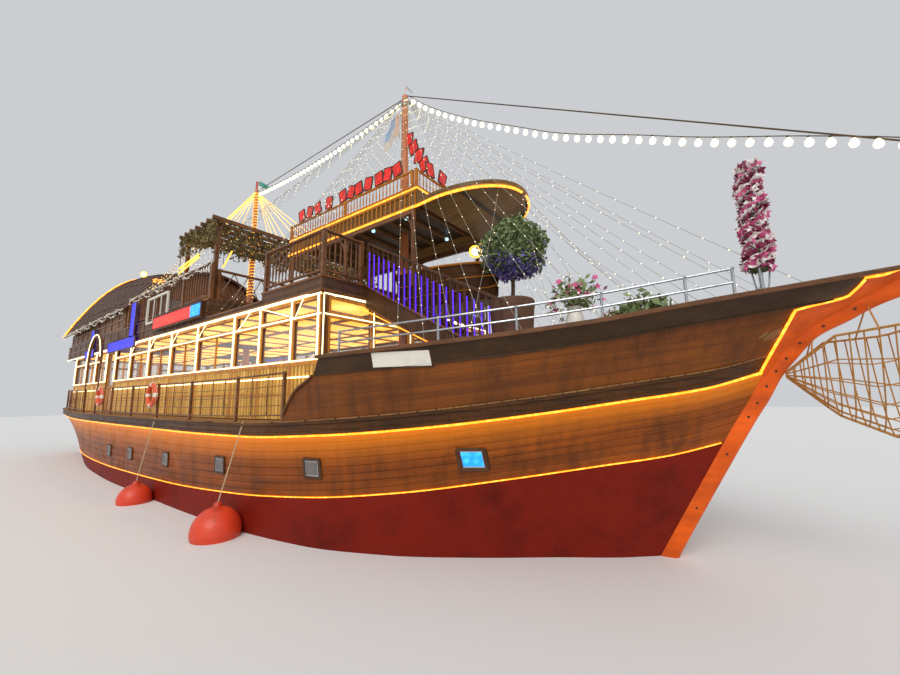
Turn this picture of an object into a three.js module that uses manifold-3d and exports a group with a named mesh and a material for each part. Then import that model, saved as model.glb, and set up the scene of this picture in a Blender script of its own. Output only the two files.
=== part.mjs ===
// A two-masted dhow fitted out as a restaurant boat, afloat: decked hull with a long raised beak,
// a glazed salon on the main deck, an upper deck in two levels, a boat-shaped canopy with a terrace
// on it round the main mast, and a vaulted cabin aft.
// Millimetres. +X forward, +Y port, +Z up. The origin lies on the waterline, amidships.
import * as THREE from 'three';
import { mergeVertices } from 'three/addons/utils/BufferGeometryUtils.js';
import Module from 'manifold-3d';

const wasm = await Module();
wasm.setup();

// driving dimensions
const GAP = 0.3;              // between pieces that rest on each other
const TIMBER = 130;           // half thickness of stem, keel and sternpost
const KEEL_TOP = -2100;
const KEEL_BOTTOM = -2350;
const WALE_DEPTH = 300;       // from the wale's lower edge to the deck edge
const WALE_OUT = 60;
const BULWARK_THICK = 100;
const BULWARK_FLARE = 80;
const CAP_WIDTH = 240;
const CAP_DEPTH = 70;

const SALON_FRONT = 9200, SALON_BACK = -12600, SALON_HALF = 3280, WALL = 90;
const SALON_TOP = 5060;       // underside of the upper deck
const SILL = 3630, TRANSOM_BAR = 4550, HEAD = 4960, BAR = 80;

const DECK_HALF = 3340;       // half width of the upper deck
const FORE_DECK_FRONT = 9300, FORE_DECK_BACK = 6750, FORE_FLOOR = 5440;
const AFT_DECK_FRONT = 3650, AFT_DECK_BACK = -14600, AFT_FLOOR = 5800;
const LOW_FLOOR = 5240;       // the lower side strips between the two sections

const MAIN_MAST_X = 8470, AFT_MAST_X = -800, MAST_TOP = 12360;
const BEAK_TIP_X = 20600, BEAK_TIP_Z = 5250;

const CANOPY_BACK = 4700, CANOPY_TIP = 12420, CANOPY_HALF = 1500;
const CANOPY_LOW = 7400, TERRACE_FLOOR = 7860, TERRACE_FRONT = 10300;

const CABIN_FRONT = -4600, CABIN_BACK = -14200;

// rabbet line, where the planking meets the stem: z, x
const RABBET = [[-2100, 11600], [-1750, 13100], [-1200, 14000], [-600, 14450], [0, 14780],
  [1330, 15510], [2370, 16090], [2700, 16290], [3070, 16490], [3660, 16950], [4100, 17600], [4500, 18300]];
// after end of the hull: z, x
const STERN = [[-2100, -12350], [-1200, -12350], [-600, -12500], [0, -13700], [2400, -14600],
  [4500, -15400]];
// hull stations: s from bow to stern, half breadth at the water and at the wale, height of the
// boot line and of the wale's lower edge, fullness under water, top of the bulwark
const STATIONS = [
  { s: 0.000, water: 130, wale: 130, boot: 2000, sheer: 3150, full: 0.0, cap: 4500 },
  { s: 0.020, water: 620, wale: 690, boot: 1800, sheer: 2900, full: 0.0, cap: 4330 },
  { s: 0.050, water: 1200, wale: 1290, boot: 1620, sheer: 2720, full: 0.1, cap: 4130 },
  { s: 0.090, water: 2020, wale: 2150, boot: 1400, sheer: 2500, full: 0.3, cap: 3860 },
  { s: 0.140, water: 2880, wale: 3010, boot: 1150, sheer: 2290, full: 0.5, cap: 3670 },
  { s: 0.200, water: 3500, wale: 3610, boot: 940, sheer: 2130, full: 0.75, cap: 3560 },
  { s: 0.280, water: 3800, wale: 3890, boot: 760, sheer: 2010, full: 0.95, cap: 3500 },
  { s: 0.400, water: 3900, wale: 3970, boot: 600, sheer: 1980, full: 1.0, cap: 3500 },
  { s: 0.560, water: 3900, wale: 3970, boot: 520, sheer: 1980, full: 1.0, cap: 3500 },
  { s: 0.690, water: 3740, wale: 3920, boot: 500, sheer: 1980, full: 0.9, cap: 3500 },
  { s: 0.800, water: 3400, wale: 3790, boot: 520, sheer: 1990, full: 0.6, cap: 3500 },
  { s: 0.900, water: 2650, wale: 3560, boot: 580, sheer: 2030, full: 0.25, cap: 3500 },
  { s: 0.960, water: 1900, wale: 3370, boot: 630, sheer: 2080, full: 0.1, cap: 3500 },
  { s: 1.000, water: 1250, wale: 3220, boot: 680, sheer: 2120, full: 0.0, cap: 3500 },
];

// helpers
const V = (x, y, z) => new THREE.Vector3(x, y, z);
function interpolate(rows, key, from, to) {
  let i = 0;
  while (i < rows.length - 2 && key > rows[i + 1][from]) i += 1;
  const a = rows[i], b = rows[i + 1];
  const t = (key - a[from]) / (b[from] - a[from]);
  return a[to] + (b[to] - a[to]) * t;
}
const at = (s, column) => interpolate(STATIONS, s, 's', column);
const hullX = (s, z) => {
  const front = interpolate(RABBET, z, 0, 1), back = interpolate(STERN, z, 0, 1);
  return front + (back - front) * s;
};
const deckZ = (s) => at(s, 'sheer') + WALE_DEPTH;
// the deck edge at each station: x, height, half breadth
const DECK_EDGE = STATIONS.map((row) => {
  const z = row.sheer + WALE_DEPTH;
  return [-hullX(row.s, z), z, row.wale];
});
const deckTop = (x) => interpolate(DECK_EDGE, -x, 0, 1);
const deckHalf = (x) => interpolate(DECK_EDGE, -x, 0, 2);
const CAP_LINE = STATIONS.map((row) => [-hullX(row.s, row.cap), row.cap + CAP_DEPTH]);
const capTop = (x) => interpolate(CAP_LINE, -x, 0, 1);
const deckSeat = (x, r) => Math.max(deckTop(x - r), deckTop(x), deckTop(x + r)) + GAP;

function geometryOf(points, triangles) {
  const g = new THREE.BufferGeometry();
  g.setAttribute('position', new THREE.BufferAttribute(new Float32Array(points.flat()), 3));
  g.setIndex(triangles.flat());
  return g;
}
// closed loft through rings of equal length; the end rings are capped as seen along x, or, where
// a ring's second half mirrors its first, by a strip from one half to the other
function loft(rings, mirrored = false) {
  const n = rings[0].length;
  const points = rings.flat().map((p) => [p.x, p.y, p.z]);
  const triangles = [];
  for (let i = 0; i < rings.length - 1; i += 1) {
    for (let j = 0; j < n; j += 1) {
      const a = i * n + j, b = i * n + ((j + 1) % n), c = a + n, d = b + n;
      triangles.push([a, b, d], [a, d, c]);
    }
  }
  [0, rings.length - 1].forEach((i) => {
    if (mirrored) {
      for (let j = 0; j < n / 2 - 1; j += 1) {
        const [a, b, c, d] = [j, j + 1, n - 2 - j, n - 1 - j].map((k) => i * n + k);
        triangles.push([a, b, c], [a, c, d]);
      }
      return;
    }
    const outline = rings[i].map((p) => new THREE.Vector2(p.y, p.z));
    THREE.ShapeUtils.triangulateShape(outline, []).forEach((t) => triangles.push(t.map((k) => i * n + k)));
  });
  return orient(geometryOf(points, triangles));
}
// turns every face the same way round, then outward
function orient(g) {
  const m = mergeVertices(g, 1e-3);
  const index = Array.from(m.index.array), p = m.attributes.position;
  const tris = [];
  for (let i = 0; i < index.length; i += 3) {
    const t = index.slice(i, i + 3);
    if (t[0] !== t[1] && t[1] !== t[2] && t[0] !== t[2]) tris.push(t);
  }
  const byEdge = new Map();
  tris.forEach((t, i) => t.forEach((a, k) => {
    const b = t[(k + 1) % 3], key = a < b ? `${a},${b}` : `${b},${a}`;
    if (!byEdge.has(key)) byEdge.set(key, []);
    byEdge.get(key).push([i, a < b]);
  }));
  const seen = new Array(tris.length).fill(false), flip = new Array(tris.length).fill(false);
  for (let root = 0; root < tris.length; root += 1) {
    if (seen[root]) continue;
    seen[root] = true;
    const queue = [root];
    while (queue.length) {
      const i = queue.pop();
      tris[i].forEach((a, k) => {
        const b = tris[i][(k + 1) % 3], key = a < b ? `${a},${b}` : `${b},${a}`;
        byEdge.get(key).forEach(([j, dir]) => {
          if (j === i || seen[j]) return;
          seen[j] = true;
          flip[j] = dir === (a < b) ? !flip[i] : flip[i];
          queue.push(j);
        });
      });
    }
  }
  tris.forEach((t, i) => { if (flip[i]) t.reverse(); });
  let volume = 0;
  const at3 = (i) => V(p.getX(i), p.getY(i), p.getZ(i));
  tris.forEach((t) => { volume += at3(t[0]).dot(at3(t[1]).cross(at3(t[2]))) / 6; });
  if (volume < 0) tris.forEach((t) => t.reverse());
  const out = new THREE.BufferGeometry();
  out.setAttribute('position', p);
  out.setIndex(tris.flat());
  return out;
}
function solid(g) {
  const c = g.clone();
  c.deleteAttribute('normal');
  c.deleteAttribute('uv');
  const m = mergeVertices(c, 1e-3);
  return new wasm.Manifold(new wasm.Mesh({ numProp: 3,
    vertProperties: new Float32Array(m.attributes.position.array),
    triVerts: new Uint32Array(m.index.array) }));
}
function geometry(s) {
  const m = s.getMesh();
  const g = new THREE.BufferGeometry();
  g.setAttribute('position', new THREE.BufferAttribute(Float32Array.from(m.vertProperties), 3));
  g.setIndex(Array.from(m.triVerts));
  return g;
}
const join = (list) => list.slice(1).reduce((sum, s) => sum.add(s), list[0]);
const cut = (body, list) => list.reduce((rest, s) => rest.subtract(s), body);
function box(x0, x1, y0, y1, z0, z1) {
  const g = new THREE.BoxGeometry(Math.abs(x1 - x0), Math.abs(y1 - y0), Math.abs(z1 - z0));
  g.translate((x0 + x1) / 2, (y0 + y1) / 2, (z0 + z1) / 2);
  return solid(g);
}
// straight bar of n sides between two points
function bar(a, b, radius, n = 6, radiusEnd = radius) {
  const g = new THREE.CylinderGeometry(radiusEnd, radius, a.distanceTo(b), n);
  g.applyQuaternion(new THREE.Quaternion().setFromUnitVectors(V(0, 1, 0), b.clone().sub(a).normalize()));
  const mid = a.clone().add(b).multiplyScalar(0.5);
  g.translate(mid.x, mid.y, mid.z);
  return solid(g);
}
// flat beam of rectangular section between two points, its depth kept upright
function beam(a, b, width, depth) {
  const along = b.clone().sub(a).normalize();
  const side = V(-along.y, along.x, 0).normalize().multiplyScalar(width / 2);
  const up = V(0, 0, depth / 2);
  const ring = (p) => [p.clone().add(side).add(up), p.clone().sub(side).add(up),
    p.clone().sub(side).sub(up), p.clone().add(side).sub(up)];
  const [p, q] = [ring(a), ring(b)];
  const points = [...p, ...q].map((v) => [v.x, v.y, v.z]);
  return solid(orient(geometryOf(points, [[0, 1, 2], [0, 2, 3], [4, 6, 5], [4, 7, 6], [0, 4, 5], [0, 5, 1],
    [1, 5, 6], [1, 6, 2], [2, 6, 7], [2, 7, 3], [3, 7, 4], [3, 4, 0]])));
}
// outline in plan, extruded up
function slab(outline, z0, z1) {
  const g = new THREE.ExtrudeGeometry(new THREE.Shape(outline.map(([x, y]) => new THREE.Vector2(x, y))),
    { depth: z1 - z0, bevelEnabled: false });
  g.translate(0, 0, z0);
  return solid(g);
}
// outline in profile (x, z), extruded across
function profile(outline, y0, y1) {
  const g = new THREE.ExtrudeGeometry(new THREE.Shape(outline.map(([x, z]) => new THREE.Vector2(x, z))),
    { depth: y1 - y0, bevelEnabled: false });
  g.rotateX(Math.PI / 2);
  g.translate(0, y1, 0);
  return solid(g);
}

const group = new THREE.Group();
const looks = {
  varnish: [0x8a4a1c, 0.45, 0], dark: [0x4a2a16, 0.55, 0], stem: [0xb5451c, 0.45, 0],
  deck: [0x7a5230, 0.7, 0],
  pale: [0xd9cfb8, 0.6, 0], steel: [0xc8ccd0, 0.25, 1], bronze: [0xa07a3c, 0.35, 1],
    ring: [0xe2541c, 0.6, 0],
  leaf: [0x3f5a2c, 0.9, 0], flower: [0xd86f9c, 0.9, 0], rope: [0x2e2a26, 0.9, 0],
  spar: [0xb4632a, 0.5, 0], board: [0xe6e2d8, 0.6, 0],
};
const materials = Object.fromEntries(Object.entries(looks).map(([name, [color, roughness, metalness]]) =>
  [name, new THREE.MeshStandardMaterial({ name, color, roughness, metalness })]));
function add(name, shape, look) {
  const mesh = new THREE.Mesh(shape.isBufferGeometry ? shape : geometry(shape), materials[look]);
  mesh.name = name;
  group.add(mesh);
}

// hull
function hullRing(row) {
  const fat = (low, high) => TIMBER + (row.water - TIMBER) * (low + (high - low) * row.full);
  const out = WALE_OUT * Math.min(1, row.s / 0.02);
  const side = [
    [TIMBER, KEEL_TOP], [fat(0.1, 0.48), -1750], [fat(0.36, 0.82), -1200], [fat(0.7, 0.96), -600],
    [row.water, 0], [row.water + (row.wale - row.water) * 0.35, row.boot], [row.wale, row.sheer],
    [row.wale + out, row.sheer + 40], [row.wale + out, row.sheer + WALE_DEPTH]];
  const half = side.map(([y, z]) => V(hullX(row.s, z), y, z));
  return [...half, ...half.slice().reverse().map((p) => V(p.x, -p.y, p.z))];
}
add('hull', loft(STATIONS.map(hullRing), true), 'varnish');

// stem timber with the long beak, its after edge on the rabbet line
const stemFront = [[-2350, 11800], [-1800, 13500], [-1200, 14280], [-600, 14750], [0, 15050], [1330, 15770],
  [2370, 16350], [2700, 16550], [3070, 16750], [3320, 16940], [3660, 17240], [3820, 17540], [4020, 17860],
  [4130, 18110], [4500, 19100], [4800, 19900], [4960, BEAK_TIP_X]];
const hullLevels = [3450, 3190, 3150, 2000, 0, -600, -1200, -1750, -2100];
const stemBack = [[BEAK_TIP_Z, BEAK_TIP_X], [4980, 19300], [4700, 18220], [4500, 18300 + GAP],
  [4100, 17600 + GAP],
  ...hullLevels.map((z) => [z, hullX(0, z) + GAP]), [-2100, 11500], [-2350, 11500]];
add('stem_beak', profile([...stemFront, ...stemBack].map(([z, x]) => [x, z]), -TIMBER, TIMBER), 'stem');
// keel with the sternpost
add('keel', profile([[11500 - GAP, KEEL_BOTTOM], [11500 - GAP, KEEL_TOP - GAP], [-13200, KEEL_TOP - GAP],
  [-13700 - GAP, 0], [-13900 - GAP, 533], [-14056, 533], [-13950, 0], [-13480, KEEL_BOTTOM]], -TIMBER,
    TIMBER), 'dark');

// rudder, hung by three pintles on the sternpost's raked after edge
const POST_FOOT = V(-13480, 0, KEEL_BOTTOM), POST_HEAD = V(-13950, 0, 0);
const PINTLE_R = 30;
const postUp = POST_HEAD.clone().sub(POST_FOOT).normalize();
const postAft = V(-postUp.z, 0, postUp.x);
const onPost = (up, aft) => POST_FOOT.clone().addScaledVector(postUp, up).addScaledVector(postAft, aft);
function rudder() {
  const lead = PINTLE_R + GAP + 35;
  const edge = [onPost(80, lead), onPost(2780, lead), onPost(2780, lead + 620), onPost(2100, lead + 800),
    onPost(900, lead + 950), onPost(80, lead + 900)];
  const parts = [profile(edge.map((p) => [p.x, p.z]), -70, 70)];
  [300, 1250, 2200].forEach((up) => {
    parts.push(bar(onPost(up - 60, PINTLE_R + GAP), onPost(up + 60, PINTLE_R + GAP), PINTLE_R, 12));
    parts.push(bar(onPost(up, PINTLE_R + GAP), onPost(up, lead + 40), 22, 6));
  });
  return join(parts);
}
add('rudder', rudder(), 'dark');

// propeller and its shaft in the aperture ahead of the sternpost
const PROP_X = -12860, PROP_Z = -1350, PROP_R = 560, SHAFT_FROM = -12350 - GAP;
function propeller() {
  const blades = [bar(V(SHAFT_FROM, 0, PROP_Z), V(PROP_X + 100, 0, PROP_Z), 45, 10),
    bar(V(PROP_X - 130, 0, PROP_Z), V(PROP_X + 130, 0, PROP_Z), 95, 10)];
  for (let k = 0; k < 4; k += 1) {
    const g = new THREE.BoxGeometry(36, 300, PROP_R - 40);
    g.translate(0, 0, (PROP_R + 40) / 2);
    g.rotateZ(0.55);
    g.rotateX((k * Math.PI) / 2 + 0.4);
    g.translate(PROP_X, 0, PROP_Z);
    blades.push(solid(g));
  }
  return join(blades);
}
add('propeller', propeller(), 'bronze');

// bulwark with its cap, bow half
const SCOOP = [{ s: 0.2186, top: 3540 }, { s: 0.2192, top: 3270 }, { s: 0.2235, top: 3130 },
  { s: 0.231, top: 2970 },
  { s: 0.2366, top: 2680 }, { s: 0.2388, top: 2480 }];
const BOW_S = 0.004;
const bulwarkRows = [{ s: BOW_S }, ...STATIONS.filter((r) => r.s > BOW_S && r.s < 0.21)]
  .map((r) => ({ s: r.s, top: at(r.s, 'cap') })).concat(SCOOP);
function bulwark(sign) {
  const rings = bulwarkRows.map(({ s, top }) => {
    const bottom = deckZ(s) + GAP, half = at(s, 'wale') + 20;
    const rise = (top - bottom) / 1300;
    const out = half + BULWARK_FLARE * rise * Math.min(1, s / 0.05);
    const inner = (y) => Math.max(y - BULWARK_THICK, 20 + s * 2000);
    return [V(hullX(s, bottom), sign * half, bottom), V(hullX(s, top), sign * out, top),
      V(hullX(s, top), sign * inner(out), top), V(hullX(s, bottom), sign * inner(half), bottom)];
  });
  return solid(loft(rings));
}
// raised foredeck between the bulwarks, a little below their cap; its after face is a bulkhead
const RAISED_BACK = 10400, RAISED_BELOW_CAP = 330, SIDE_PLAY = 6;
const raisedRows = [0.008, ...STATIONS.map((r) => r.s).filter((t) => t > 0.008 && t < 0.16), 0.16];
// a point of the bulwark's inner face at station s, at height z between its foot and its top
function innerFace(s, z) {
  const top = at(s, 'cap'), bottom = deckZ(s) + GAP, half = at(s, 'wale') + 20;
  const rise = (top - bottom) / 1300, t = (z - bottom) / (top - bottom);
  const out = half + BULWARK_FLARE * rise * Math.min(1, s / 0.05);
  const inner = (y) => Math.max(y - BULWARK_THICK, 20 + s * 2000);
  const x = hullX(s, bottom) + (hullX(s, top) - hullX(s, bottom)) * t;
  return V(x, inner(half) + (inner(out) - inner(half)) * t - SIDE_PLAY, z);
}
const raisedZ = (s) => at(s, 'cap') - RAISED_BELOW_CAP;
// the station whose inner face stands at x, at the height that `level` gives
function stationAt(x, level) {
  let low = 0, high = 0.4;
  for (let k = 0; k < 40; k += 1) {
    const mid = (low + high) / 2;
    if (innerFace(mid, level(mid)).x > x) low = mid; else high = mid;
  }
  return (low + high) / 2;
}
const footZ = (s) => deckZ(s) + GAP;
const raisedRing = (foot, top) => [V(foot.x, foot.y, foot.z), V(top.x, top.y, top.z),
  V(top.x, -top.y, top.z),
  V(foot.x, -foot.y, foot.z)];
const RAISED_EDGE = [...raisedRows.map((s) => innerFace(s, raisedZ(s))),
  innerFace(stationAt(RAISED_BACK, raisedZ), raisedZ(stationAt(RAISED_BACK, raisedZ)))];
const raisedTop = (x) => interpolate(RAISED_EDGE.map((p) => [-p.x, p.z]), -x, 0, 1);
function raisedForedeck() {
  const rings = raisedRows.map((s) => raisedRing(innerFace(s, footZ(s)), innerFace(s, raisedZ(s))));
  const back = stationAt(RAISED_BACK, footZ);
  rings.push(raisedRing(innerFace(back, footZ(back)), RAISED_EDGE[RAISED_EDGE.length - 1]));
  return solid(loft(rings));
}
add('raised_foredeck', raisedForedeck(), 'deck');
function capRail(sign) {
  const rows = [{ s: BOW_S }, ...STATIONS.filter((r) => r.s > BOW_S && r.s < 0.21), { s: 0.2186 }]
    .map((r) => ({ s: r.s, top: r.s > 0.21 ? 3540 : at(r.s, 'cap') }));
  const rings = rows.map(({ s, top }) => {
    const x = hullX(s, top), out = at(s, 'wale') + 20 + BULWARK_FLARE * Math.min(1, s / 0.05) + 60;
    const inner = Math.max(out - CAP_WIDTH, 20 + s * 1500);
    return [V(x, sign * out, top - 2), V(x, sign * out, top + CAP_DEPTH),
      V(x, sign * inner, top + CAP_DEPTH),
      V(x, sign * inner, top - 2)];
  });
  return solid(loft(rings));
}
// rails
// a balustrade along a run of points on a floor: square posts, top and foot rails, balusters
function balustrade(points, height, { pitch = 300, post = 90, rail = [90, 60], foot = 120,
  thick = 36 } = {}) {
  const parts = [];
  for (let i = 0; i < points.length - 1; i += 1) {
    const a = points[i], b = points[i + 1];
    const up = (p, h) => V(p.x, p.y, p.z + h);
    parts.push(beam(up(a, height - rail[1] / 2), up(b, height - rail[1] / 2), rail[0], rail[1]));
    parts.push(beam(up(a, foot), up(b, foot), 60, 50));
    const n = Math.max(1, Math.round(a.distanceTo(b) / pitch));
    for (let k = 1; k < n; k += 1) {
      const p = a.clone().lerp(b, k / n);
      parts.push(box(p.x - thick / 2, p.x + thick / 2, p.y - thick / 2, p.y + thick / 2, p.z + foot - 20,
        p.z + height - rail[1] + 10));
    }
  }
  points.forEach((p) => parts.push(box(p.x - post / 2, p.x + post / 2, p.y - post / 2, p.y + post / 2, p.z,
    p.z + height + 20)));
  return join(parts);
}

// walkway rails along the deck edge, open at the boarding place under a round arch
const WALK_RAIL = 1000;
const BOARD_FRONT = -5100, BOARD_BACK = -7300;
const ARCH_FRONT = -5200, ARCH_BACK = -7240, ARCH_SPRING = 4620, ARCH_BAR = 90;
const walkPoint = (sign) => (x) => V(x, sign * (deckHalf(x) - 60), deckSeat(x, 45));
function boardingArch(sign) {
  const mid = (ARCH_FRONT + ARCH_BACK) / 2, r = (ARCH_FRONT - ARCH_BACK) / 2, steps = 10;
  const y = sign * (deckHalf(mid) - 60);
  const arc = (radius) => Array.from({ length: steps + 1 }, (_, k) => (Math.PI * k) / steps)
    .map((a) => [mid + radius * Math.cos(a), ARCH_SPRING + radius * Math.sin(a)]);
  const seat = deckSeat(mid, r + ARCH_BAR);
  const outer = [[ARCH_FRONT + ARCH_BAR / 2, seat], ...arc(r + ARCH_BAR / 2),
    [ARCH_BACK - ARCH_BAR / 2, seat]];
  const inner = [[ARCH_BACK + ARCH_BAR / 2, seat], ...arc(r - ARCH_BAR / 2).reverse(),
    [ARCH_FRONT - ARCH_BAR / 2, seat]];
  return profile([...outer, ...inner], y - ARCH_BAR / 2, y + ARCH_BAR / 2);
}
const walkRuns = { fore: [8650, 6900, 4500, 2100, -300, -2700, BOARD_FRONT],
  aft: [BOARD_BACK, -9700, -12000, -13900] };
[['starboard', -1], ['port', 1]].forEach(([side, sign]) => {
  Object.entries(walkRuns).forEach(([part, xs]) => {
    // each post stands on the hull's own facet; the after run turns across the stern
    const run = xs.map(walkPoint(sign));
    if (part === 'aft') run.push(V(run[run.length - 1].x, sign * 60, run[run.length - 1].z));
    const rail = balustrade(run, WALK_RAIL, { pitch: 400 });
    add(`walkway_rail_${side}_${part}`, part === 'aft' ? join([rail, boardingArch(sign)]) : rail, 'pale');
  });
});

// bow rail of two steel tubes on the bulwark cap
const BOW_POSTS = [0.205, 0.1474, 0.1133, 0.0827, 0.0576, 0.044];
function bowRail(sign) {
  const foot = BOW_POSTS.map((s) => V(hullX(s, at(s, 'cap')),
    sign * (at(s, 'wale') + 20 + BULWARK_FLARE - 60),
    at(s, 'cap') + CAP_DEPTH - 30));
  const up = (p, h) => V(p.x, p.y, p.z + h);
  const parts = [];
  foot.forEach((p, i) => {
    parts.push(bar(p, up(p, 460), 22, 6));
    parts.push(bar(p, up(p, 14), 60, 8));
    if (i) [430, 215].forEach((h) => parts.push(bar(up(foot[i - 1], h), up(p, h), 19, 6)));
  });
  return join(parts);
}
[['starboard', -1], ['port', 1]].forEach(([side, sign]) => {
  add(`bulwark_${side}`, join([bulwark(sign), capRail(sign), bowRail(sign)]), 'varnish');
});

// salon on the main deck
const DOOR = 1060;            // width of a doorway
const DOOR_FOOT = 2380;       // clear of the deck's rise where a door swings
const POSTS = [9110, 8100, 6700, 5350, 3000, 900, -1250, -3350, -5350];
const POSTS_AFT = [-6650, -8500, -10340, -12540];
function windowsAlong(xs, y) {
  return xs.slice(1).flatMap((x, i) => [[SILL, TRANSOM_BAR], [TRANSOM_BAR + BAR, HEAD]].map(([z0, z1]) =>
    box(x + 60, xs[i] - 60, y - 200, y + 200, z0, z1)));
}
// the wall's foot follows the deck's sheer
function sideWall(x0, x1, sign, top) {
  const foot = [x1, ...DECK_EDGE.map(([x]) => -x).filter((x) => x > x0 && x < x1), x0];
  const outline = [[x0, top], [x1, top], ...foot.map((x) => [x, deckTop(x) + GAP])];
  return profile(outline, Math.min(sign * SALON_HALF, sign * (SALON_HALF - WALL)),
    Math.max(sign * SALON_HALF, sign * (SALON_HALF - WALL)));
}
function salonSide(sign, xs, x0, x1) {
  const y = sign * (SALON_HALF - WALL / 2);
  return cut(sideWall(x0, x1, sign, SALON_TOP - GAP), windowsAlong(xs, y));
}
function salonEnd(x, sign) {
  const inside = SALON_HALF - WALL - GAP, mid = (inside + DOOR / 2) / 2;
  const wall = box(x - WALL / 2, x + WALL / 2, sign * (DOOR / 2), sign * inside, deckSeat(x, WALL / 2),
    SALON_TOP - GAP);
  const holes = [[DOOR / 2 + 90, mid - 50], [mid + 50, inside - 90]].flatMap(([a, b]) =>
    [[SILL, TRANSOM_BAR], [TRANSOM_BAR + BAR, HEAD]].map(([z0, z1]) =>
      box(x - 200, x + 200, sign * a, sign * b, z0, z1)));
  return cut(wall, holes);
}
// three hinge knuckles on a door's pivot, reaching to its jamb
const JAMB_GAP = 8, KNUCKLE_R = JAMB_GAP - GAP;
const knuckles = (x, y, z0, z1) => [0.12, 0.5, 0.88].map((t) => {
  const z = z0 + (z1 - z0) * t;
  return bar(V(x, y, z - 80), V(x, y, z + 80), KNUCKLE_R, 12);
});
// door in a cross wall, hung on its starboard edge and opening towards `out`
function door(x, half, z0, z1, out) {
  const leaf = cut(box(x - 25, x + 25, -half, half, z0, z1),
    [box(x - 50, x + 50, 160 - half, half - 160, z0 + 1050, z1 - 180)]);
  return join([leaf, ...knuckles(x + out * 25, -half, z0, z1)]);
}
[['starboard', -1], ['port', 1]].forEach(([side, sign]) => {
  add(`salon_side_${side}_fore`, salonSide(sign, POSTS, -5400, SALON_FRONT), 'varnish');
  add(`salon_side_${side}_aft`, salonSide(sign, POSTS_AFT, SALON_BACK, -6600), 'varnish');
  add(`salon_front_${side}`, salonEnd(SALON_FRONT - WALL / 2, sign), 'varnish');
  add(`salon_back_${side}`, salonEnd(SALON_BACK + WALL / 2, sign), 'varnish');
});
add('salon_door_front', door(SALON_FRONT - WALL / 2, DOOR / 2 - JAMB_GAP, DOOR_FOOT + 160,
  SALON_TOP - 12, 1), 'varnish');
add('salon_door_back', door(SALON_BACK + WALL / 2, DOOR / 2 - JAMB_GAP, DOOR_FOOT + 40, SALON_TOP - 12, -1),
  'varnish');
[['starboard', -1], ['port', 1]].forEach(([side, sign]) => {
  const y = sign * (SALON_HALF - WALL / 2);
  const leaf = cut(box(-6592, -5408, y - 25, y + 25, DOOR_FOOT, SALON_TOP - 12),
    [box(-6592 + 160, -5408 - 160, y - 50, y + 50, DOOR_FOOT + 1050, SALON_TOP - 200)]);
  add(`boarding_door_${side}`, join([leaf, ...knuckles(-5408, y - sign * 25, DOOR_FOOT,
    SALON_TOP - 12)]), 'varnish');
});

// upper deck
const mastHole = (x, r = 200) => bar(V(x, 0, 2000), V(x, 0, 12000), r, 12);
const foreSlab = slab([[FORE_DECK_BACK, -DECK_HALF], [FORE_DECK_FRONT - 60, -DECK_HALF],
  [FORE_DECK_FRONT, -1700], [FORE_DECK_FRONT + 20, 0], [FORE_DECK_FRONT, 1700],
  [FORE_DECK_FRONT - 60, DECK_HALF], [FORE_DECK_BACK, DECK_HALF]], SALON_TOP, FORE_FLOOR);
const midSlab = box(AFT_DECK_FRONT, FORE_DECK_BACK, -DECK_HALF, DECK_HALF, SALON_TOP, LOW_FLOOR);
const midRaised = box(AFT_DECK_FRONT, FORE_DECK_BACK, -2250, 2250, SALON_TOP, FORE_FLOOR);
const aftSlab = box(AFT_DECK_BACK, AFT_DECK_FRONT, -DECK_HALF, DECK_HALF, SALON_TOP, AFT_FLOOR);
add('upper_deck', cut(join([foreSlab, midSlab, midRaised, aftSlab]),
  [mastHole(MAIN_MAST_X), mastHole(AFT_MAST_X)]), 'dark');

// boat-bow balcony at the front of the upper deck
const PROW_ROOT = FORE_DECK_FRONT + 20 + GAP;
function prow() {
  // x, half breadth at the rim, rim height, half breadth at the foot, foot height
  const rows = [[PROW_ROOT, 1250, 5900, 900, 5060], [10300, 1080, 5930, 700, 5070],
    [11000, 760, 5970, 420, 5110],
    [11500, 330, 6020, 120, 5180], [11620, 90, 6050, 50, 5260]];
  const ring = ([x, a, z, b, z0], t) => [V(x, a - t, z), V(x, b - t * 0.6, z0 + t),
    V(x, -b + t * 0.6, z0 + t),
    V(x, -a + t, z)];
  const outer = solid(loft(rows.map((r) => ring(r, 0))));
  const inner = solid(loft([[PROW_ROOT - 50, 1250, 6100, 900, 5330], [10300, 1080, 6130, 700, 5330],
    [11000, 760, 6150, 420, 5350], [11400, 380, 6170, 200, 5380]].map(([x, a, z, b, z0]) =>
    [V(x, a - 70, z), V(x, b + 60, z0), V(x, -b - 60, z0), V(x, -a + 70, z)])));
  return outer.subtract(inner);
}
add('prow_balcony', prow(), 'dark');

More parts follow.
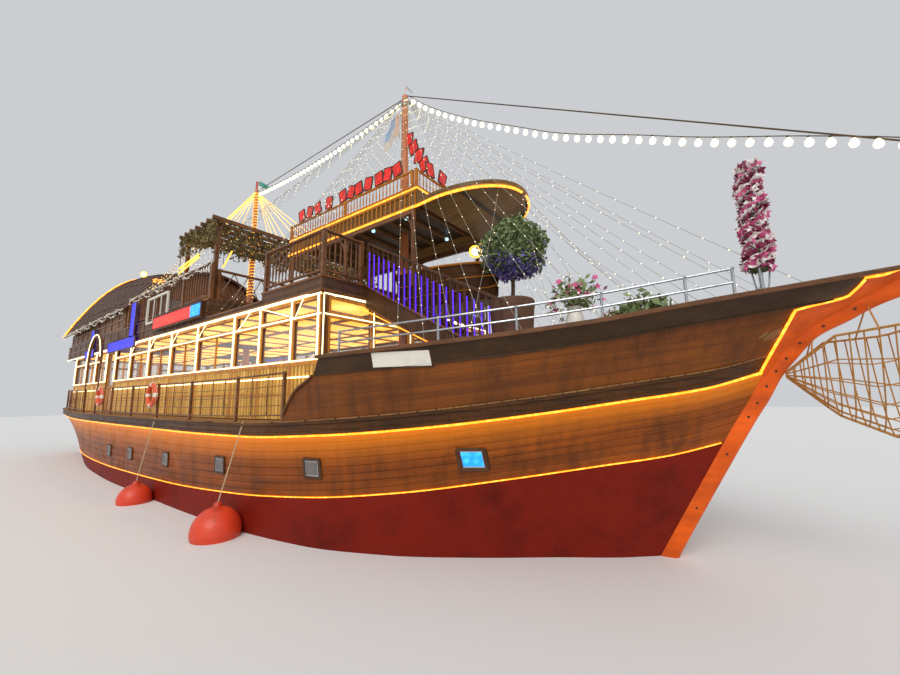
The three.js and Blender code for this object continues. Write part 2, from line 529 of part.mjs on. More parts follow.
// upper deck rails, standing on the deck edge
const RAIL = 1060, INSET = 60;
const STAIR_OUT = 2200, STAIR_IN = 1300, STAIR_TOP_X = 9330, STAIR_SLOPE = 0.55, STEPS = 10, STRINGER = 60;
const foreZ = FORE_FLOOR + GAP, aftZ = AFT_FLOOR + GAP;
[['starboard', -1], ['port', 1]].forEach(([side, sign]) => {
  const y = sign * (DECK_HALF - INSET);
  const front = side === 'starboard' ? [V(FORE_DECK_FRONT - 90, -STAIR_OUT - 70, foreZ)]
    : [V(FORE_DECK_FRONT - 62, 1720, foreZ), V(FORE_DECK_FRONT - 50, 1200, foreZ)];
  add(`fore_rail_${side}`, balustrade([V(FORE_DECK_BACK + INSET, y, foreZ),
    V(FORE_DECK_FRONT - 125, y, foreZ),
    ...front], RAIL, { pitch: 150 }), 'dark');
  add(`aft_rail_${side}`, balustrade([V(AFT_DECK_FRONT - INSET, y, aftZ), V(1500, y, aftZ),
    V(-900, y, aftZ),
    V(-3000, y, aftZ), V(CABIN_FRONT + 400, y, aftZ)], 1200,
      { pitch: 380 }), 'dark');
});
// cross lattice at the front of the aft section
function lattice() {
  const y = DECK_HALF - 260, x = AFT_DECK_FRONT - INSET, n = 14, h = 940;
  const parts = [beam(V(x, -y, aftZ + h), V(x, y, aftZ + h), 80, 60),
    beam(V(x, -y, aftZ + 60), V(x, y, aftZ + 60), 60, 60)];
  for (let k = 0; k < n; k += 1) {
    const a = -y + (2 * y * k) / n, b = -y + (2 * y * (k + 1)) / n;
    parts.push(bar(V(x, a, aftZ + 60), V(x, b, aftZ + h), 16, 4),
      bar(V(x, b, aftZ + 60), V(x, a, aftZ + h), 16, 4));
  }
  [-y, 0, y].forEach((p) => parts.push(box(x - 40, x + 40, p - 40, p + 40, aftZ, aftZ + h + 40)));
  return join(parts);
}
add('lattice_rail', lattice(), 'dark');

// stair from the upper deck's front down to the raised foredeck, beside the balcony
function foreStair() {
  const level = (x) => FORE_FLOOR - STAIR_SLOPE * (x - STAIR_TOP_X);
  let foot = STAIR_TOP_X;
  while (level(foot) - raisedTop(foot) > 30) foot += 5;
  const seat = (x) => raisedTop(x) + GAP;
  let under = STAIR_TOP_X;
  while (level(under) - 540 > seat(under)) under += 5;
  const side = [[STAIR_TOP_X, level(STAIR_TOP_X) - 20], [foot, level(foot)], [foot, seat(foot)],
    [under, seat(under)],
    [STAIR_TOP_X, level(STAIR_TOP_X) - 560]];
  const parts = [-STAIR_OUT, -STAIR_IN - STRINGER].map((y) => profile(side, y, y + STRINGER));
  const going = (foot - STAIR_TOP_X) / (STEPS + 1);
  for (let k = 1; k <= STEPS; k += 1) {
    const x = STAIR_TOP_X + going * k, z = level(x);
    parts.push(box(x - going, x + 30, -STAIR_OUT + 20, -STAIR_IN - 20, z - 45, z));
  }
  // hand rails: face, x of the far end
  [[-STAIR_OUT + STRINGER / 2, foot - 60], [-STAIR_IN - STRINGER / 2, 11180]].forEach(([y, end]) => {
    const start = STAIR_TOP_X + 45, n = Math.round((end - start) / 160);
    const rise = (x) => level(x) + RAIL;
    parts.push(beam(V(start, y, rise(start) - 30), V(end, y, rise(end) - 30), 80, 60));
    for (let k = 0; k <= n; k += 1) {
      const x = start + ((end - start) * k) / n, half = k === 0 || k === n ? 40 : 17;
      const low = Math.max(level(x) - 90, seat(x + half));
      parts.push(box(x - half, x + half, y - half * 0.7, y + half * 0.7, low, rise(x) - 20));
    }
  });
  return join(parts);
}
add('fore_stair', foreStair(), 'dark');

// pergola over the front of the after section, inside its rails
const PERGOLA_X = [1200, 3480], PERGOLA_HALF = 3170, PERGOLA_TOP = 8380, PERGOLA_POST = 55;
function pergola() {
  const parts = [], [back, front] = PERGOLA_X, y = PERGOLA_HALF, r = PERGOLA_POST;
  PERGOLA_X.forEach((x) => [-1, 1].forEach((sign) => {
    parts.push(box(x - r, x + r, sign * y - r, sign * y + r, aftZ, PERGOLA_TOP));
  }));
  [-1, 1].forEach((sign) => parts.push(box(back - 250, front + 250, sign * y - 40, sign * y + 40,
    PERGOLA_TOP - 150,
    PERGOLA_TOP - 20)));
  for (let k = 0; k <= 6; k += 1) {
    const x = back - 150 + ((front - back + 300) * k) / 6;
    parts.push(box(x - 35, x + 35, -y - 250, y + 250, PERGOLA_TOP - 60, PERGOLA_TOP + 60));
  }
  return join(parts);
}
add('pergola', pergola(), 'dark');

// canopy and terrace over the upper deck
function canopy() {
  // x, half breadth, height of the lower edge, height of the top
  const rows = [[CANOPY_BACK, 1500, CANOPY_LOW, TERRACE_FLOOR],
    [TERRACE_FRONT, 1500, CANOPY_LOW, TERRACE_FLOOR], [10900, 1390, 7450, 7820],
    [11500, 1130, 7500, 7820], [12000, 740, 7560, 7840], [12300, 330, 7610, 7860],
      [CANOPY_TIP, 40, 7630, 7860]];
  const outer = solid(loft(rows.map(([x, y, z, top]) =>
    [V(x, y, z), V(x, y, top), V(x, -y, top), V(x, -y, z)])));
  const inner = solid(loft(rows.slice(0, 6).map(([x, y, z, top], i) =>
    [V(x - (i === 0 ? 10 : 90), y - 90, z - 30),
    V(x - (i === 0 ? 10 : 90), y - 240, top - 190), V(x - (i === 0 ? 10 : 90), -y + 240, top - 190),
    V(x - (i === 0 ? 10 : 90), -y + 90, z - 30)])));
  return cut(outer, [inner, mastHole(MAIN_MAST_X)]);
}
add('canopy', canopy(), 'dark');
const canopyPosts = [[4900, 1380], [7600, 1380], [10150, 1380]];
[['starboard', -1], ['port', 1]].forEach(([side, sign]) => {
  const y = sign * 1455;
  const posts = canopyPosts.map(([x]) => box(x - 45, x + 45, y - 40, y + 40, FORE_FLOOR + GAP,
    CANOPY_LOW - GAP));
  posts.push(beam(V(4855, y, 7330), V(10195, y, 7330), 80, 130));
  add(`canopy_posts_${side}`, join(posts), 'dark');
});
const terraceZ = TERRACE_FLOOR + GAP, TERRACE_RAIL = 560;
[['starboard', -1], ['port', 1]].forEach(([side, sign]) => {
  const y = sign * (CANOPY_HALF - 50);
  add(`terrace_rail_${side}`, balustrade([V(CANOPY_BACK + 60, y, terraceZ), V(7500, y, terraceZ),
    V(TERRACE_FRONT - 200, y, terraceZ)], TERRACE_RAIL, { pitch: 300 }), 'dark');
});
add('terrace_rail_front', balustrade([V(TERRACE_FRONT - 60, -1450, terraceZ),
  V(TERRACE_FRONT - 60, 1450, terraceZ)], TERRACE_RAIL, { pitch: 300 }), 'dark');

// aft cabin with its vaulted roof
// vault: x, eave height, half breadth at the eave, crown height; the arch is a parabola
const ROOF_ROWS = [[CABIN_FRONT + 300, 6600, 3480, 9000], [-8000, 6520, 3560, 9650],
  [-11000, 6430, 3620, 10200], [CABIN_BACK - 300, 6340, 3660, 10600]];
const ROOF_THICK = 110;
function roofRing([x, low, wide, crown], shrink) {
  const half = wide - shrink, rise = crown - shrink - low, pts = [];
  for (let k = 0; k <= 12; k += 1) {
    const a = Math.PI * (k / 12);
    pts.push(V(x, half * Math.cos(a), low + rise * Math.sin(a) ** 2));
  }
  return pts;
}
// the side walls run up to the vault's inner face
const underRoof = solid(loft(ROOF_ROWS.map((row) => [...roofRing(row, ROOF_THICK + GAP).reverse(),
  V(row[0], row[2] - ROOF_THICK - GAP, 5000), V(row[0], -row[2] + ROOF_THICK + GAP, 5000)])));
[['starboard', -1], ['port', 1]].forEach(([side, sign]) => {
  const [y0, y1] = [DECK_HALF - 20 - WALL, DECK_HALF - 20].map((y) => sign * y).sort((a, b) => a - b);
  const wall = box(CABIN_BACK, CABIN_FRONT, y0, y1, aftZ, 7600);
  add(`cabin_side_${side}`, wall.intersect(underRoof), 'dark');
});
function vault() {
  return solid(loft(ROOF_ROWS.map((row) => [...roofRing(row, 0), ...roofRing(row, ROOF_THICK).reverse()])));
}
add('cabin_roof', vault(), 'dark');
function cabinEnd(x, doorway) {
  const row = [x, ...[1, 2, 3].map((column) => interpolate(ROOF_ROWS.slice().reverse(), x, 0, column))];
  const arch = roofRing(row, ROOF_THICK + 25).map((p) => [p.y, p.z]).reverse();
  const half = DECK_HALF - 20 - WALL - 5, shoulder = interpolate(arch, half, 0, 1);
  const outline = [[-half, aftZ], [-half, shoulder], ...arch.filter(([y]) => Math.abs(y) < half),
    [half, shoulder], [half, aftZ]];
  const shape = new THREE.Shape(outline.map(([y, z]) => new THREE.Vector2(y, z)));
  const g = new THREE.ExtrudeGeometry(shape, { depth: WALL, bevelEnabled: false });
  g.rotateX(Math.PI / 2);
  g.rotateZ(Math.PI / 2);
  g.translate(x - (doorway ? WALL : 0), 0, 0);
  return cut(solid(g), doorway ? [box(x - 300, x + 300, -500, 500, aftZ - 10, 7900),
    box(x - 300, x + 300, 900, 2100, 6700, 7500), box(x - 300, x + 300, -2100, -900, 6700, 7500)]
    : [box(x - 300, x + 300, -1500, -300, 6700, 7500), box(x - 300, x + 300, 300, 1500, 6700, 7500)]);
}
add('cabin_front', cabinEnd(CABIN_FRONT, true), 'dark');
add('cabin_back', cabinEnd(CABIN_BACK, false), 'dark');
add('cabin_door', door(CABIN_FRONT - WALL / 2, 500 - JAMB_GAP, aftZ + 20, 7890, 1), 'dark');

// helm in the aft cabin
const HELM_X = -5700, HELM_Z = 6850;
add('helm_stand', join([box(HELM_X - 60, HELM_X + 220, -180, 180, aftZ, 6700),
  box(HELM_X - 60, HELM_X + 60, -60, 60, 6650,
  HELM_Z + 70)]), 'varnish');
function helmWheel() {
  const x = HELM_X - 110, parts = [bar(V(x - 40, 0, HELM_Z), V(HELM_X - 60 - GAP, 0, HELM_Z), 55, 10)];
  const rim = new THREE.TorusGeometry(360, 28, 6, 20);
  rim.rotateY(Math.PI / 2);
  rim.translate(x, 0, HELM_Z);
  parts.push(solid(rim));
  for (let k = 0; k < 6; k += 1) {
    const a = (k * Math.PI) / 3;
    parts.push(bar(V(x, 0, HELM_Z), V(x, Math.cos(a) * 480, HELM_Z + Math.sin(a) * 480), 16, 6));
  }
  return join(parts);
}
add('helm_wheel', helmWheel(), 'varnish');

// masts and main stays
add('main_mast', bar(V(MAIN_MAST_X, 0, deckSeat(MAIN_MAST_X, 165)), V(MAIN_MAST_X, 0, MAST_TOP), 165,
  12, 95), 'spar');
add('aft_mast', bar(V(AFT_MAST_X, 0, deckSeat(AFT_MAST_X, 150)), V(AFT_MAST_X, 0, MAST_TOP - 60), 150,
  12, 80), 'spar');
const stays = {
  forestay: [V(MAIN_MAST_X + 102.4, 0, MAST_TOP - 90), V(BEAK_TIP_X - 130, 0, BEAK_TIP_Z + 15)],
  triatic_stay: [V(AFT_MAST_X + 82, 0, MAST_TOP - 160), V(MAIN_MAST_X - 96.6, 0, MAST_TOP - 120)],
};
Object.entries(stays).forEach(([name, [a, b]]) => add(name, bar(a, b, 14, 6), 'rope'));

// furnishings
const PLANTER = V(12270, -550, 4900), PLANTER_R = 400, CROWN = V(12370, -550, 6050);
const planterSeat = Math.max(raisedTop(PLANTER.x - PLANTER_R), raisedTop(PLANTER.x + PLANTER_R)) + GAP;
add('planter', bar(V(PLANTER.x, PLANTER.y, planterSeat), PLANTER, PLANTER_R, 12, PLANTER_R + 110), 'dark');
function tree() {
  const g = new THREE.IcosahedronGeometry(1, 2);
  g.scale(765, 765, 745);
  g.translate(CROWN.x, CROWN.y, CROWN.z);
  return join([bar(V(CROWN.x, CROWN.y, PLANTER.z + GAP), V(CROWN.x, CROWN.y, CROWN.z - 300), 60, 8),
    solid(g)]);
}
add('tree', tree(), 'leaf');
// the flower column: a steel stand on the bulwark's cap, blossoms packed round it
const COLUMN = V(16600, -900, 6380), COLUMN_FOOT = 90, STAND = 330;
const columnSeat = capTop(COLUMN.x + COLUMN_FOOT) + GAP;
const columnAt = (h) => V(COLUMN.x, COLUMN.y, columnSeat + h);
add('flower_column', join([bar(columnAt(0), columnAt(STAND + 60), COLUMN_FOOT, 10),
  bar(columnAt(STAND), COLUMN, 200, 10, 165)]), 'flower');

// life rings on the starboard walkway rail
[['fore', 1900], ['aft', -4000]].forEach(([part, x]) => {
  const g = new THREE.TorusGeometry(310, 62, 8, 16);
  g.rotateX(Math.PI / 2);
  g.rotateZ(-Math.atan((deckHalf(x + 300) - deckHalf(x - 300)) / 600));
  g.translate(x, -(deckHalf(x) - 60 + 45 + 62 + 0.4), 2950);
  add(`life_ring_${part}`, g, 'ring');
});

// ball fenders at the waterline, each on a rope from the deck edge
const waterHalf = (x) => interpolate(STATIONS.map((row) => [-hullX(row.s, 0), row.water]), -x, 0, 1);
// (name, x, radius, height of its middle, how far forward its rope hangs, room beside the hull)
const fenders = [['fore', 7200, 475, 130, 260, 3.9], ['aft', 2350, 405, 90, 40, 1.5]];
fenders.forEach(([part, x, r, z, lean, off]) => {
  const y = -(waterHalf(x) + ((deckHalf(x) - waterHalf(x)) * z) / deckTop(x) + r + off);
  const ropeX = x + lean, edge = deckHalf(ropeX) + WALE_OUT, rope = 14;
  const ball = new THREE.SphereGeometry(r, 14, 10);
  ball.translate(x, y, z);
  const top = deckTop(ropeX) + rope + 3;
  const tie = V(ropeX, y, z + Math.sqrt(r * r - lean * lean) - 40), over = V(ropeX, -edge - rope - 2, top);
  add(`fender_${part}`, join([solid(ball), bar(tie, over, rope, 6),
    bar(over, V(ropeX, -edge + 60, top), rope, 6)]), 'ring');
});

// sign board on the aft deck's side, and the registration boards on the bow
add('sign_board', box(-600, 3450, -DECK_HALF - 120, -DECK_HALF - GAP, 5270, 5730), 'board');

export default group;
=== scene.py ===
# %% [markdown]
# # Dressing a two-masted dhow
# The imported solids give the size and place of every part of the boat. This lesson puts the visible
# surfaces round them: planking, rails, glazing, lights, leaves and rope. Each form is worked out as
# arrays of points with numpy, because a boat is made of long smooth curves that a formula gives well.

# %% Load the frame
import bmesh
import bpy
import numpy as np
from numpy import (arange, array, asarray, concatenate, cos, cross, interp, linspace, maximum, minimum,
    pi, sin, vstack, where)
from mathutils import Matrix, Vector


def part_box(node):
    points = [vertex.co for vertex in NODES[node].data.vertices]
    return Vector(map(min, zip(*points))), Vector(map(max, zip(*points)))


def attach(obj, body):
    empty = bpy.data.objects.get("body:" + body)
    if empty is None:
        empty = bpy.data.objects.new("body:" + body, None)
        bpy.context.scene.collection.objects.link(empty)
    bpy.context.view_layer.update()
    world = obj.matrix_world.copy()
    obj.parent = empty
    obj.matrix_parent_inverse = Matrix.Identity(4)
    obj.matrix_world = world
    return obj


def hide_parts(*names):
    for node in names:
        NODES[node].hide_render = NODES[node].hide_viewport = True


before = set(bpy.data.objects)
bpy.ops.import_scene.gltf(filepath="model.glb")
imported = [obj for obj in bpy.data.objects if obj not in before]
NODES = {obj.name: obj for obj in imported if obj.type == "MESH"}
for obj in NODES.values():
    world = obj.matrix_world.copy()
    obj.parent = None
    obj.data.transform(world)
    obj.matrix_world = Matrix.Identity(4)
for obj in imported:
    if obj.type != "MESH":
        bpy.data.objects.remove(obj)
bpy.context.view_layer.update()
UP = array([0.0, 0.0, 1.0])
SIDES = (("starboard", -1.0), ("port", 1.0))
print("solids in the frame:", len(NODES))

# %% [markdown]
# ## The camera
# The picture was taken close beside the bow with a very wide lens, a little under the deck.
# The place and the three turns were found from points of the hull that the picture shows, so the
# camera is set from numbers and not by eye.

# %% Camera
EYE = array([16.21, -8.2, 2.82])
FOCAL_PIXELS, PICTURE_PIXELS, SENSOR_MM = 390, 900, 36
yaw, pitch, roll = np.radians([53.5, 8.5, -0.7])
level = array([-cos(yaw), sin(yaw), 0])
across = array([sin(yaw), cos(yaw), 0])
forward = level * cos(pitch) + UP * sin(pitch)
upward = UP * cos(pitch) - level * sin(pitch)
right = across * cos(roll) + upward * sin(roll)
top = upward * cos(roll) - across * sin(roll)
camera_data = bpy.data.cameras.new("camera")
camera_data.lens, camera_data.sensor_width = SENSOR_MM * FOCAL_PIXELS / PICTURE_PIXELS, SENSOR_MM
camera_data.clip_end = 300
camera = bpy.data.objects.new("camera", camera_data)
turn = np.eye(4)
turn[:3, 0], turn[:3, 1], turn[:3, 2], turn[:3, 3] = right, top, -forward, EYE
camera.matrix_world = Matrix(turn.tolist())
bpy.context.scene.collection.objects.link(camera)
bpy.context.scene.camera = camera

# %% [markdown]
# ## Shapes from arrays
# Nearly everything aboard is a ring of points carried along a path: a plank, a rail, a mast, a
# rope. One skin function closes the rings, and the rest only say where the rings are.


# %% The skin over rings
def unit(v):
    """Vectors divided by their own length."""
    return v / maximum(np.linalg.norm(v, axis=-1, keepdims=True), 1e-12)


def copies(faces, count, stride):
    """The same faces once for each of count shapes, stride corners apart."""
    return (arange(count)[:, None, None] * stride + faces).reshape(-1, faces.shape[1])


def stack(rings, paired=False):
    """Skin over rings of points, an array (..., rings, points, 3). The ends close on the ring's
    middle, or by a strip where a ring's second half runs back beside its first (paired)."""
    r = asarray(rings, float)
    r = r.reshape(-1, *r.shape[-3:])
    m, n, k, _ = r.shape
    i, j = np.meshgrid(arange(n - 1), arange(k), indexing="ij")
    after = (j + 1) % k
    quads = np.stack([i * k + j, i * k + after, (i + 1) * k + after, (i + 1) * k + j], -1).reshape(-1, 4)
    if paired:
        j = arange(k // 2 - 1)
        cap = np.stack([j, j + 1, k - 2 - j, k - 1 - j], -1)
        quads = vstack([quads, cap, cap[:, ::-1] + (n - 1) * k])
        return r.reshape(-1, 3), [copies(quads, m, n * k)]
    j = arange(k)
    first = np.stack([(j + 1) % k, j, np.full(k, n * k)], -1)
    last = np.stack([(n - 1) * k + j, (n - 1) * k + (j + 1) % k, np.full(k, n * k + 1)], -1)
    middle = np.stack([r[:, 0].mean(1), r[:, -1].mean(1)], 1)
    verts = concatenate([r.reshape(m, n * k, 3), middle], 1).reshape(-1, 3)
    return verts, [copies(quads, m, n * k + 2), copies(vstack([first, last]), m, n * k + 2)]


# %% [markdown]
# Three ways to place the rings cover most of the boat. A swept outline makes rails, planks and
# ropes. A turned profile makes posts, balusters and masts. A scattered copy makes leaves and bulbs.


# %% Swept, turned and scattered shapes
STEEP = 0.93  # a path that rises by more than this share of its length counts as upright


def sweep(paths, outline):
    """Outline points (side, up) carried along paths (..., points, 3): side is level and square to
    the path, up is square to both."""
    p = asarray(paths, float)
    p = p.reshape(-1, *p.shape[-2:])
    along = unit(np.gradient(p, axis=1))
    mean = unit(along.mean(1, keepdims=True))
    reference = where(np.abs(mean[..., 2:]) > STEEP, [1.0, 0, 0], UP)
    side = unit(cross(along, reference))
    up = cross(side, along)
    o = asarray(outline, float)
    return stack(p[:, :, None] + side[:, :, None] * o[:, :1] + up[:, :, None] * o[:, 1:])


def rounded(width, depth, cut=0.2):
    """A rectangle with its four corners cut, as (side, up) points."""
    c = min(width, depth) * cut
    w, d = width / 2, depth / 2
    return array([[w, -d + c], [w, d - c], [w - c, d], [c - w, d],
        [-w, d - c], [-w, c - d], [c - w, -d], [w - c, -d]])


def circle(radius, sides=8):
    """Points (cos, sin) times the radius."""
    a = 2 * pi * arange(sides) / sides
    return radius * np.stack([cos(a), sin(a)], -1)


def places(x, y, z):
    """Points from coordinates that may be arrays or single numbers."""
    return np.stack(np.broadcast_arrays(asarray(x, float), asarray(y, float), asarray(z, float)), -1)


def pairs(starts, ends):
    """Straight paths from starts to ends."""
    return np.stack(np.broadcast_arrays(np.atleast_2d(starts), np.atleast_2d(ends)), -2)


def bars(starts, ends, width, depth):
    """Straight bars of square section from starts to ends."""
    w, d = width / 2, depth / 2
    return sweep(pairs(starts, ends), [[w, -d], [w, d], [-w, d], [-w, -d]])


def uprights(x, y, low, high):
    """The two ends of upright lines at x and y, each of which may be an array."""
    return places(x, y, low), places(x, y, high)


def around(centre, radius, angle, up=0.0):
    """Points at angles round an upright line: cosine and sine times the radius."""
    return centre + np.stack([radius * cos(angle), radius * sin(angle), up + 0 * angle], -1)


def rods(paths, radius, sides=6):
    """Round bars along paths."""
    return sweep(paths, circle(radius, sides))


def turned(centres, profile, sides=8, height=1.0, phase=0.0):
    """A profile of (radius, height) turned about an upright line through each centre."""
    c, h = np.atleast_2d(centres), np.broadcast_to(height, len(np.atleast_2d(centres)))
    a = phase + 2 * pi * arange(sides) / sides
    spoke = np.stack([cos(a), sin(a), 0 * a], -1)
    r, z = asarray(profile, float).T
    rings = c[:, None, None] + r[:, None, None] * spoke + (z * h[:, None])[:, :, None, None] * UP
    return stack(rings)


GEM = (array([[1, 0, 0], [0, 1, 0], [-1, 0, 0], [0, -1, 0], [0, 0, 1], [0, 0, -1]], float),
       array([[0, 1, 4], [1, 2, 4], [2, 3, 4], [3, 0, 4], [1, 0, 5], [2, 1, 5], [3, 2, 5], [0, 3, 5]]))


def scatter(centres, sizes, frames=None):
    """An eight-faced gem at each centre, sizes (length, width, thickness) along the axes in frames."""
    c = asarray(centres, float).reshape(-1, 3)
    gems = GEM[0] * np.broadcast_to(sizes, (len(c), 3))[:, None]
    if frames is not None:
        gems = np.einsum("nkj,nji->nki", gems, frames)
    return (c[:, None] + gems).reshape(-1, 3), [copies(GEM[1], len(c), 6)]


def random_frames(rng, count, axis=None, spread=1.0):
    """Three square axes for each copy: the first points at random, or about axis within spread."""
    first = rng.normal(size=(count, 3)) * spread + (0 if axis is None else asarray(axis, float))
    first = unit(first)
    second = unit(cross(first, rng.normal(size=(count, 3))))
    return np.stack([first, second, cross(first, second)], 1)


# %% [markdown]
# A piece collects such shapes, with one finish for each, and becomes one mesh that rides on a body
# of the frame. Normals are recalculated on each closed shell, so every face points outwards.


# %% From arrays to a piece
CRISP = np.radians(32)  # edges that turn more than this stay sharp


class Piece:
    """Collects shapes as arrays and makes one object of them."""

    def __init__(self):
        self.verts, self.faces, self.uvs, self.count = [], [], [], 0

    def add(self, shape, finish=0, uv=None):
        """Takes a shape (points, arrays of faces), the number of its finish and its pattern."""
        verts, faces = shape
        flat = np.zeros((len(verts), 2))
        if uv is not None:
            uv = asarray(uv).reshape(-1, 2)
            flat[:len(uv)] = uv
        self.faces += [(f + self.count, finish) for f in faces]
        self.verts.append(verts)
        self.uvs.append(flat)
        self.count += len(verts)
        return self

    def make(self, name, finishes, slot="board_white", replaces=None, body="boat", weld=False):
        """Makes the mesh and its object, and sets it on a body of the frame."""
        verts, uvs = concatenate(self.verts), concatenate(self.uvs)
        corners = concatenate([f.ravel() for f, _ in self.faces]).astype(np.int32)
        sizes = concatenate([np.full(len(f), f.shape[1]) for f, _ in self.faces])
        starts = concatenate([[0], np.cumsum(sizes)[:-1]]).astype(np.int32)
        finish_of = concatenate([np.full(len(f), m) for f, m in self.faces]).astype(np.int32)
        mesh = bpy.data.meshes.new(name)
        mesh.vertices.add(len(verts))
        mesh.vertices.foreach_set("co", verts.astype(np.float32).ravel())
        mesh.loops.add(len(corners))
        mesh.loops.foreach_set("vertex_index", corners)
        mesh.polygons.add(len(sizes))
        mesh.polygons.foreach_set("loop_start", starts)
        mesh.polygons.foreach_set("material_index", finish_of)
        mesh.update(calc_edges=True)
        mesh.uv_layers.new(name="UVMap").data.foreach_set("uv", uvs[corners].astype(np.float32).ravel())
        for finish in finishes if isinstance(finishes, (list, tuple)) else [finishes]:
            mesh.materials.append(finish)
        grid = bmesh.new()
        grid.from_mesh(mesh)
        if weld:
            bmesh.ops.remove_doubles(grid, verts=grid.verts, dist=1e-5)
            bmesh.ops.dissolve_degenerate(grid, edges=grid.edges, dist=1e-6)
        bmesh.ops.recalc_face_normals(grid, faces=grid.faces)
        grid.to_mesh(mesh)
        grid.free()
        mesh.polygons.foreach_set("use_smooth", np.ones(len(mesh.polygons), bool))
        mesh.set_sharp_from_angle(angle=CRISP)
        made = bpy.data.objects.new(name, mesh)
        bpy.context.scene.collection.objects.link(made)
        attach(made, body)
        if replaces:
            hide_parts(replaces)
        print(f"{name}: {len(mesh.polygons)} faces")
        return made


# %% [markdown]
# ## Curves through the boat's table of stations
# The builder's table gives half breadths and heights at fourteen stations. A monotone cubic goes
# through every value and never overshoots, so the planking is fair and stays on the solid hull.


# %% Smooth curves through tables
def smooth(x, xs, ys):
    """Monotone cubic through (xs, ys): a knot's slope is the harmonic mean of its two chords."""
    xs, ys = asarray(xs, float), asarray(ys, float)
    h, d = np.diff(xs), np.diff(ys) / np.diff(xs)
    both = d[1:] * d[:-1]
    inner = where(both > 0, 2 * both / where(both > 0, d[1:] + d[:-1], 1), 0)
    m = concatenate([d[:1], inner, d[-1:]])
    x = np.clip(x, xs[0], xs[-1])
    i = np.clip(np.searchsorted(xs, x, side="right") - 1, 0, len(xs) - 2)
    t = (x - xs[i]) / h[i]
    return ((2 * t**3 - 3 * t**2 + 1) * ys[i] + (t**3 - 2 * t**2 + t) * h[i] * m[i]
            + (3 * t**2 - 2 * t**3) * ys[i + 1] + (t**3 - t**2) * h[i] * m[i + 1])


def through(rows, t):
    """The same cubic through whole rows of points, evenly numbered; t may be any array."""
    rows = asarray(rows, float)
    flat = rows.reshape(len(rows), -1)
    made = np.stack([smooth(t, arange(len(rows)), flat[:, c]) for c in range(flat.shape[1])], -1)
    return made.reshape(len(np.atleast_1d(t)), *rows.shape[1:])


# %% The table of stations, in metres
# s from bow to stern, half breadth at the load line and at the wale, height of the boot line and of
# the wale's lower edge, fullness below, height of the bulwark's top
STATIONS = array([
    [0.0, 0.13, 0.13, 2.0, 3.15, 0.0, 4.5], [0.02, 0.62, 0.69, 1.8, 2.9, 0.0, 4.33],
    [0.05, 1.2, 1.29, 1.62, 2.72, 0.1, 4.13], [0.09, 2.02, 2.15, 1.4, 2.5, 0.3, 3.86],
    [0.14, 2.88, 3.01, 1.15, 2.29, 0.5, 3.67], [0.2, 3.5, 3.61, 0.94, 2.13, 0.75, 3.56],
    [0.28, 3.8, 3.89, 0.76, 2.01, 0.95, 3.5], [0.4, 3.9, 3.97, 0.6, 1.98, 1.0, 3.5],
    [0.56, 3.9, 3.97, 0.52, 1.98, 1.0, 3.5], [0.69, 3.74, 3.92, 0.5, 1.98, 0.9, 3.5],
    [0.8, 3.4, 3.79, 0.52, 1.99, 0.6, 3.5], [0.9, 2.65, 3.56, 0.58, 2.03, 0.25, 3.5],
    [0.96, 1.9, 3.37, 0.63, 2.08, 0.1, 3.5], [1.0, 1.25, 3.22, 0.68, 2.12, 0.0, 3.5]])
LOAD, WALE, BOOT, SHEER, FULL, CAP = range(1, 7)
RABBET = array([[-2.1, 11.6], [-1.75, 13.1], [-1.2, 14.0], [-0.6, 14.45], [0, 14.78], [1.33, 15.51],
    [2.37, 16.09], [2.7, 16.29], [3.07, 16.49], [3.66, 16.95], [4.1, 17.6], [4.5, 18.3]])
STERN = array([[-2.1, -12.35], [-1.2, -12.35], [-0.6, -12.5], [0, -13.7], [2.4, -14.6], [4.5, -15.4]])
KEEL_HALF, KEEL_TOP, WALE_DEPTH, WALE_OUT = 0.13, -2.1, 0.3, 0.06


def at(s, column):
    """A column of the table at station s."""
    return smooth(s, STATIONS[:, 0], STATIONS[:, column])


def hull_x(s, z):
    """Distance forward of station s at height z: between the stem's rabbet and the stern's rake."""
    return smooth(z, RABBET[:, 0], RABBET[:, 1]) * (1 - s) + interp(z, STERN[:, 0], STERN[:, 1]) * s


def station_of(x, z):
    """The station whose line passes x at height z."""
    bow = smooth(z, RABBET[:, 0], RABBET[:, 1])
    return (bow - x) / (bow - interp(z, STERN[:, 0], STERN[:, 1]))


def deck_z(s):
    """Height of the main deck at station s: the top of the wale."""
    return at(s, SHEER) + WALE_DEPTH


def half_section(s):
    """Rows (y, z) of the half section from the keel to the sheer: fractions of the half breadth
    at the load line grow with fullness."""
    load, wale, full = at(s, LOAD), at(s, WALE), at(s, FULL)

    def fat(low, high):
        """Half breadth between the share low of a lean hull and the share high of a full one."""
        return KEEL_HALF + (load - KEEL_HALF) * (low + (high - low) * full)

    rows = [(KEEL_HALF, KEEL_TOP), (fat(0.1, 0.48), -1.75), (fat(0.36, 0.82), -1.2), (fat(0.7, 0.96), -0.6),
            (load, 0), (load + (wale - load) * 0.35, at(s, BOOT)), (wale, at(s, SHEER))]
    one = np.ones_like(s)
    return np.stack([np.stack([y * one, z * one], -1) for y, z in rows])


ALONG = np.unique(concatenate([linspace(0, 0.06, 22), linspace(0.06, 0.28, 34),
    linspace(0.28, 1, 44)]))
print("stations along the planking:", len(ALONG))

# %% [markdown]
# ## Finishes
# Wood is the boat's main material, new and varnished in one place, rain-streaked in the next. Four
# effects come back again and again: grain, plank seams, streaks down a side, and worn patches.
# Each is a node group, so one change to the grain reaches every timber aboard.


